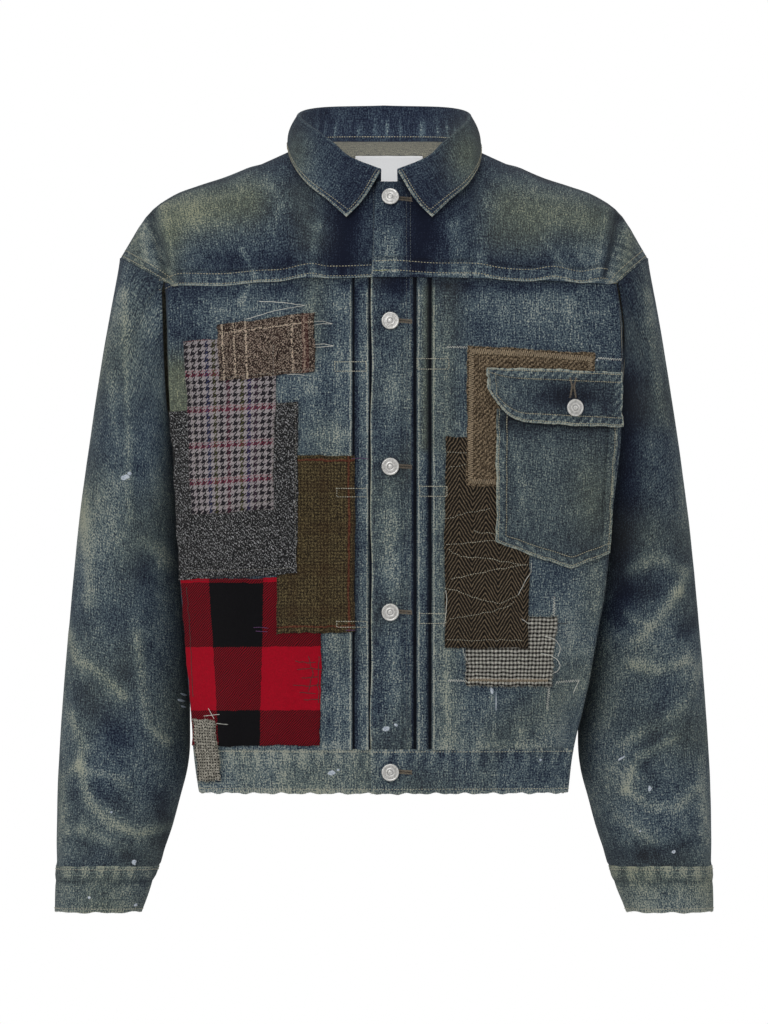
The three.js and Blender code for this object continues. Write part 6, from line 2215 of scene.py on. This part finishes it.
# Painted shadow: the open slits are black thread.
stitched("buttonhole_slits", 30, [dropped(slit, 0.1) for slit in hole_slits], "black", 1.0, 1.6, 0.9)

# %% [markdown]
# ## Frayed edges
# Wool frays where it is cut, and the hems of old denim go fuzzy. A second tree sets short fibres along an
# edge, leaning out from it by a vector stored at each point of the line.

# %% Tree: fringe
fringe_tree, fringe_sockets, given, out = new_tree("fringe", [
    ("Spacing", "Float", 0.001), ("Length", "Float", 0.002), ("Radius", "Float", 0.0002), ("Seed", "Int", 1),
    ("Fibre", "Material", None)])
spaced = spread_along(fringe_tree, "Spacing")
outward = node(fringe_tree, "GeometryNodeInputNamedAttribute", {"Name": "outward"},
               data_type="FLOAT_VECTOR").outputs[0]
facing = node(fringe_tree, "FunctionNodeAlignRotationToVector", {"Vector": outward}, axis="Z").outputs[0]
spread = random_between(fringe_tree, (-0.7, -0.7, 0.0), (0.7, 0.7, 3.0))
turned = node(fringe_tree, "FunctionNodeRotateRotation", {0: facing, 1: spread},
              rotation_space="LOCAL").outputs[0]
share = random_between(fringe_tree, 0.15, 1.0)
long = calc(fringe_tree, "MULTIPLY", calc(fringe_tree, "MULTIPLY", share, share), given["Length"])
size = node(fringe_tree, "ShaderNodeCombineXYZ", {0: given["Radius"], 1: given["Radius"], 2: long}).outputs[0]
fibre = node(fringe_tree, "GeometryNodeMeshCone", {"Vertices": 4, "Radius Top": 0.4, "Radius Bottom": 1.0,
                                                   "Depth": 1.0}, fill_type="NGON").outputs[0]
real = set_on(fringe_tree, spaced, fibre, turned, size)
dressed = node(fringe_tree, "GeometryNodeSetMaterial",
               {"Geometry": real, "Material": given["Fibre"]}).outputs[0]
fringe_tree.links.new(dressed, out[0])


def fringed(name, edges, thread, spacing, length, radius=0.16, seed=1):
    """Fibres along edges, each given as its places and its outward directions."""
    values = {"Spacing": spacing * MM, "Length": length * MM, "Radius": radius * MM, "Seed": seed,
              "Fibre": THREADS[thread]}
    extras[name] = grown(name, [places for places, _ in edges], fringe_tree, fringe_sockets, values,
                         [ways for _, ways in edges])
    print(name, len(extras[name].data.polygons), "faces")


def edge_of(grid, handed, which, depth):
    """One edge of a grid (foot, head, start or end) with its outward directions."""
    normal = normals_of(grid, False, handed)
    if which in ("start", "end"):
        grid, normal = np.swapaxes(grid, 0, 1), np.swapaxes(normal, 0, 1)
    rim, inner = (0, 1) if which in ("foot", "start") else (-1, -2)
    edge, up = grid[rim], normal[rim]
    way = edge - grid[inner]
    way /= np.maximum(np.linalg.norm(way, axis=1, keepdims=True), 1e-6)
    return edge - up * depth, way


ALL_EDGES = ("foot", "head", "start", "end")
FRINGES = [
    # patch, thread, spacing, length, edges
    ("patch_grey_check", "cream", 0.9, 3.4, ALL_EDGES), ("patch_basket", "cream", 0.9, 2.8, ALL_EDGES),
    ("patch_cream_stripe", "brown", 0.9, 2.0, ALL_EDGES), ("patch_hounds", "dim", 0.8, 1.6, ALL_EDGES),
    ("patch_speckled", "dark", 0.8, 1.6, ALL_EDGES), ("patch_olive", "brown", 0.8, 1.5, ALL_EDGES),
    ("patch_herringbone", "brown", 0.8, 1.6, ALL_EDGES), ("patch_brown_twill", "beige", 0.9, 1.6, ALL_EDGES),
    ("patch_plaid", "dark", 1.0, 1.4, ("end", "foot", "start")),
]
for seed, (name, thread, spacing, length, sides) in enumerate(FRINGES):
    edges = [edge_of(patch_grids[name], 1, which, PATCH / 2) for which in sides]
    fringed("fringe_" + name, edges, thread, spacing, length, seed=200 + seed)
hem_edges = [edge_of(band_grid, -1, "foot", DOUBLE_CLOTH / 2)]
cuff_edges = [edge_of(grid, side, "head", DOUBLE_CLOTH / 2) for side, grid in cuff_grids.items()]
fringed("fringe_waistband", hem_edges, "cream", 0.7, 2.0, 0.2, 220)
fringed("fringe_cuffs", cuff_edges, "cream", 0.7, 2.0, 0.2, 221)

# %% [markdown]
# ## Splashes of paint
# A few drops of pale paint landed on the sleeves, the closing band and the hem. Each is a small uneven
# blister moulded to the cloth under it.

# %% Paint
PAINT_DROPS = [
    # middle (x, z), half sizes (across, up), lean
    ((-248.6, -290), (4.6, 2.6), 0.2), ((-244, -286.5), (2.0, 1.6), 0.0), ((-193.5, -499), (3.4, 1.0), -0.3),
    ((-195.5, -505), (3.8, 1.1), -0.2), ((-193, -511), (2.6, 0.9), -0.4), ((-240, -660.5), (1.9, 2.6), 0.1),
    ((-283.2, -694), (1.5, 1.3), 0.0), ((-239, -701.8), (2.0, 1.3), 0.3), ((228.5, -559.7), (4.2, 0.9), 0.6),
    ((255.4, -589.4), (1.6, 2.4), 0.4), ((278.4, -649.9), (2.0, 1.6), 0.2), ((1.9, -530.9), (3.2, 2.2), 0.5),
    ((11.5, -527), (2.0, 1.3), -0.5), ((-49.9, -573.1), (3.6, 2.2), 0.3), ((-44, -570), (1.5, 1.1), 0.0),
    ((103.2, -494.5), (1.5, 3.4), 0.15), ((107.2, -506), (0.45, 10.5), 0.0), ((204, -178), (1.0, 0.8), 0.0),
    ((-262, -612), (1.1, 0.9), 0.0), ((246, -630), (1.2, 0.8), 0.4), ((150, -561), (1.4, 1.0), 0.2),
]
DROP_RINGS = ((1.0, 0.06), (0.8, 0.30), (0.45, 0.40))
DROP_CROWN = 0.42
DROP_TURNS = 20


def paint_drops():
    """Low domes with uneven outlines, each closed at its crown."""
    rng = np.random.default_rng(300)
    points, faces = [], []

    def moulded(x, z, height):
        spot, normal, _, _ = front_surface.ray_cast((x * MM, -1.0, z * MM), (0.0, 1.0, 0.0))
        points.append(tuple(spot + (normal if normal.y < 0 else -normal) * height * MM))

    for (x, z), (wide, tall), lean in PAINT_DROPS:
        uneven = 1 + 0.28 * rng.normal(0, 1, DROP_TURNS)
        uneven = (uneven + np.roll(uneven, 1) + np.roll(uneven, -1)) / 3
        first = len(points)
        for share, height in DROP_RINGS:
            for k in range(DROP_TURNS):
                turn = 2 * math.pi * k / DROP_TURNS
                a, b = wide * math.cos(turn) * share * uneven[k], tall * math.sin(turn) * share * uneven[k]
                moulded(x + a * math.cos(lean) - b * math.sin(lean),
                        z + a * math.sin(lean) + b * math.cos(lean), height)
        moulded(x, z, DROP_CROWN)
        for k in range(DROP_TURNS):
            after = (k + 1) % DROP_TURNS
            for ring in range(0, DROP_TURNS * (len(DROP_RINGS) - 1), DROP_TURNS):
                a, b = first + ring + k, first + ring + after
                faces.append((a, b, b + DROP_TURNS, a + DROP_TURNS))
            faces.append((first + DROP_TURNS * (len(DROP_RINGS) - 1) + k,
                          first + DROP_TURNS * (len(DROP_RINGS) - 1) + after,
                          first + DROP_TURNS * len(DROP_RINGS)))
    mesh = bpy.data.meshes.new("paint_drops")
    mesh.from_pydata(points, [], faces)
    mesh.polygons.foreach_set("use_smooth", np.ones(len(faces), bool))
    return link(bpy.data.objects.new("paint_drops", mesh))


paint, tree, shader = new_material("dried_paint", {"Roughness": 0.55})
places = node(tree, "ShaderNodeTexCoord").outputs["Object"]
tree.links.new(ramp(tree, noise(tree, places, 700.0, 3.0),
                    [(0.3, "8e9aab"), (0.5, "c3cdda"), (0.7, "dde3ea")]), shader.inputs["Base Color"])
drops = paint_drops()
drops.data.materials.append(paint)
extras["paint_drops"] = drops
print("paint drops:", len(PAINT_DROPS))

# %% [markdown]
# ## The pieces on the body
# Every piece rides on the one body, and stands for the solid of its name.


# %% Rides
for name, piece in pieces.items():
    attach(piece, "root")
    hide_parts(name)
for name, piece in extras.items():
    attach(piece, "root")
    sewn_on = name.removeprefix("fringe_")
    if sewn_on in WOOLS:
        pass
    elif name.endswith(("waistband", "cuffs")):
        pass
    else:
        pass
print("pieces:", len(pieces) + len(extras))
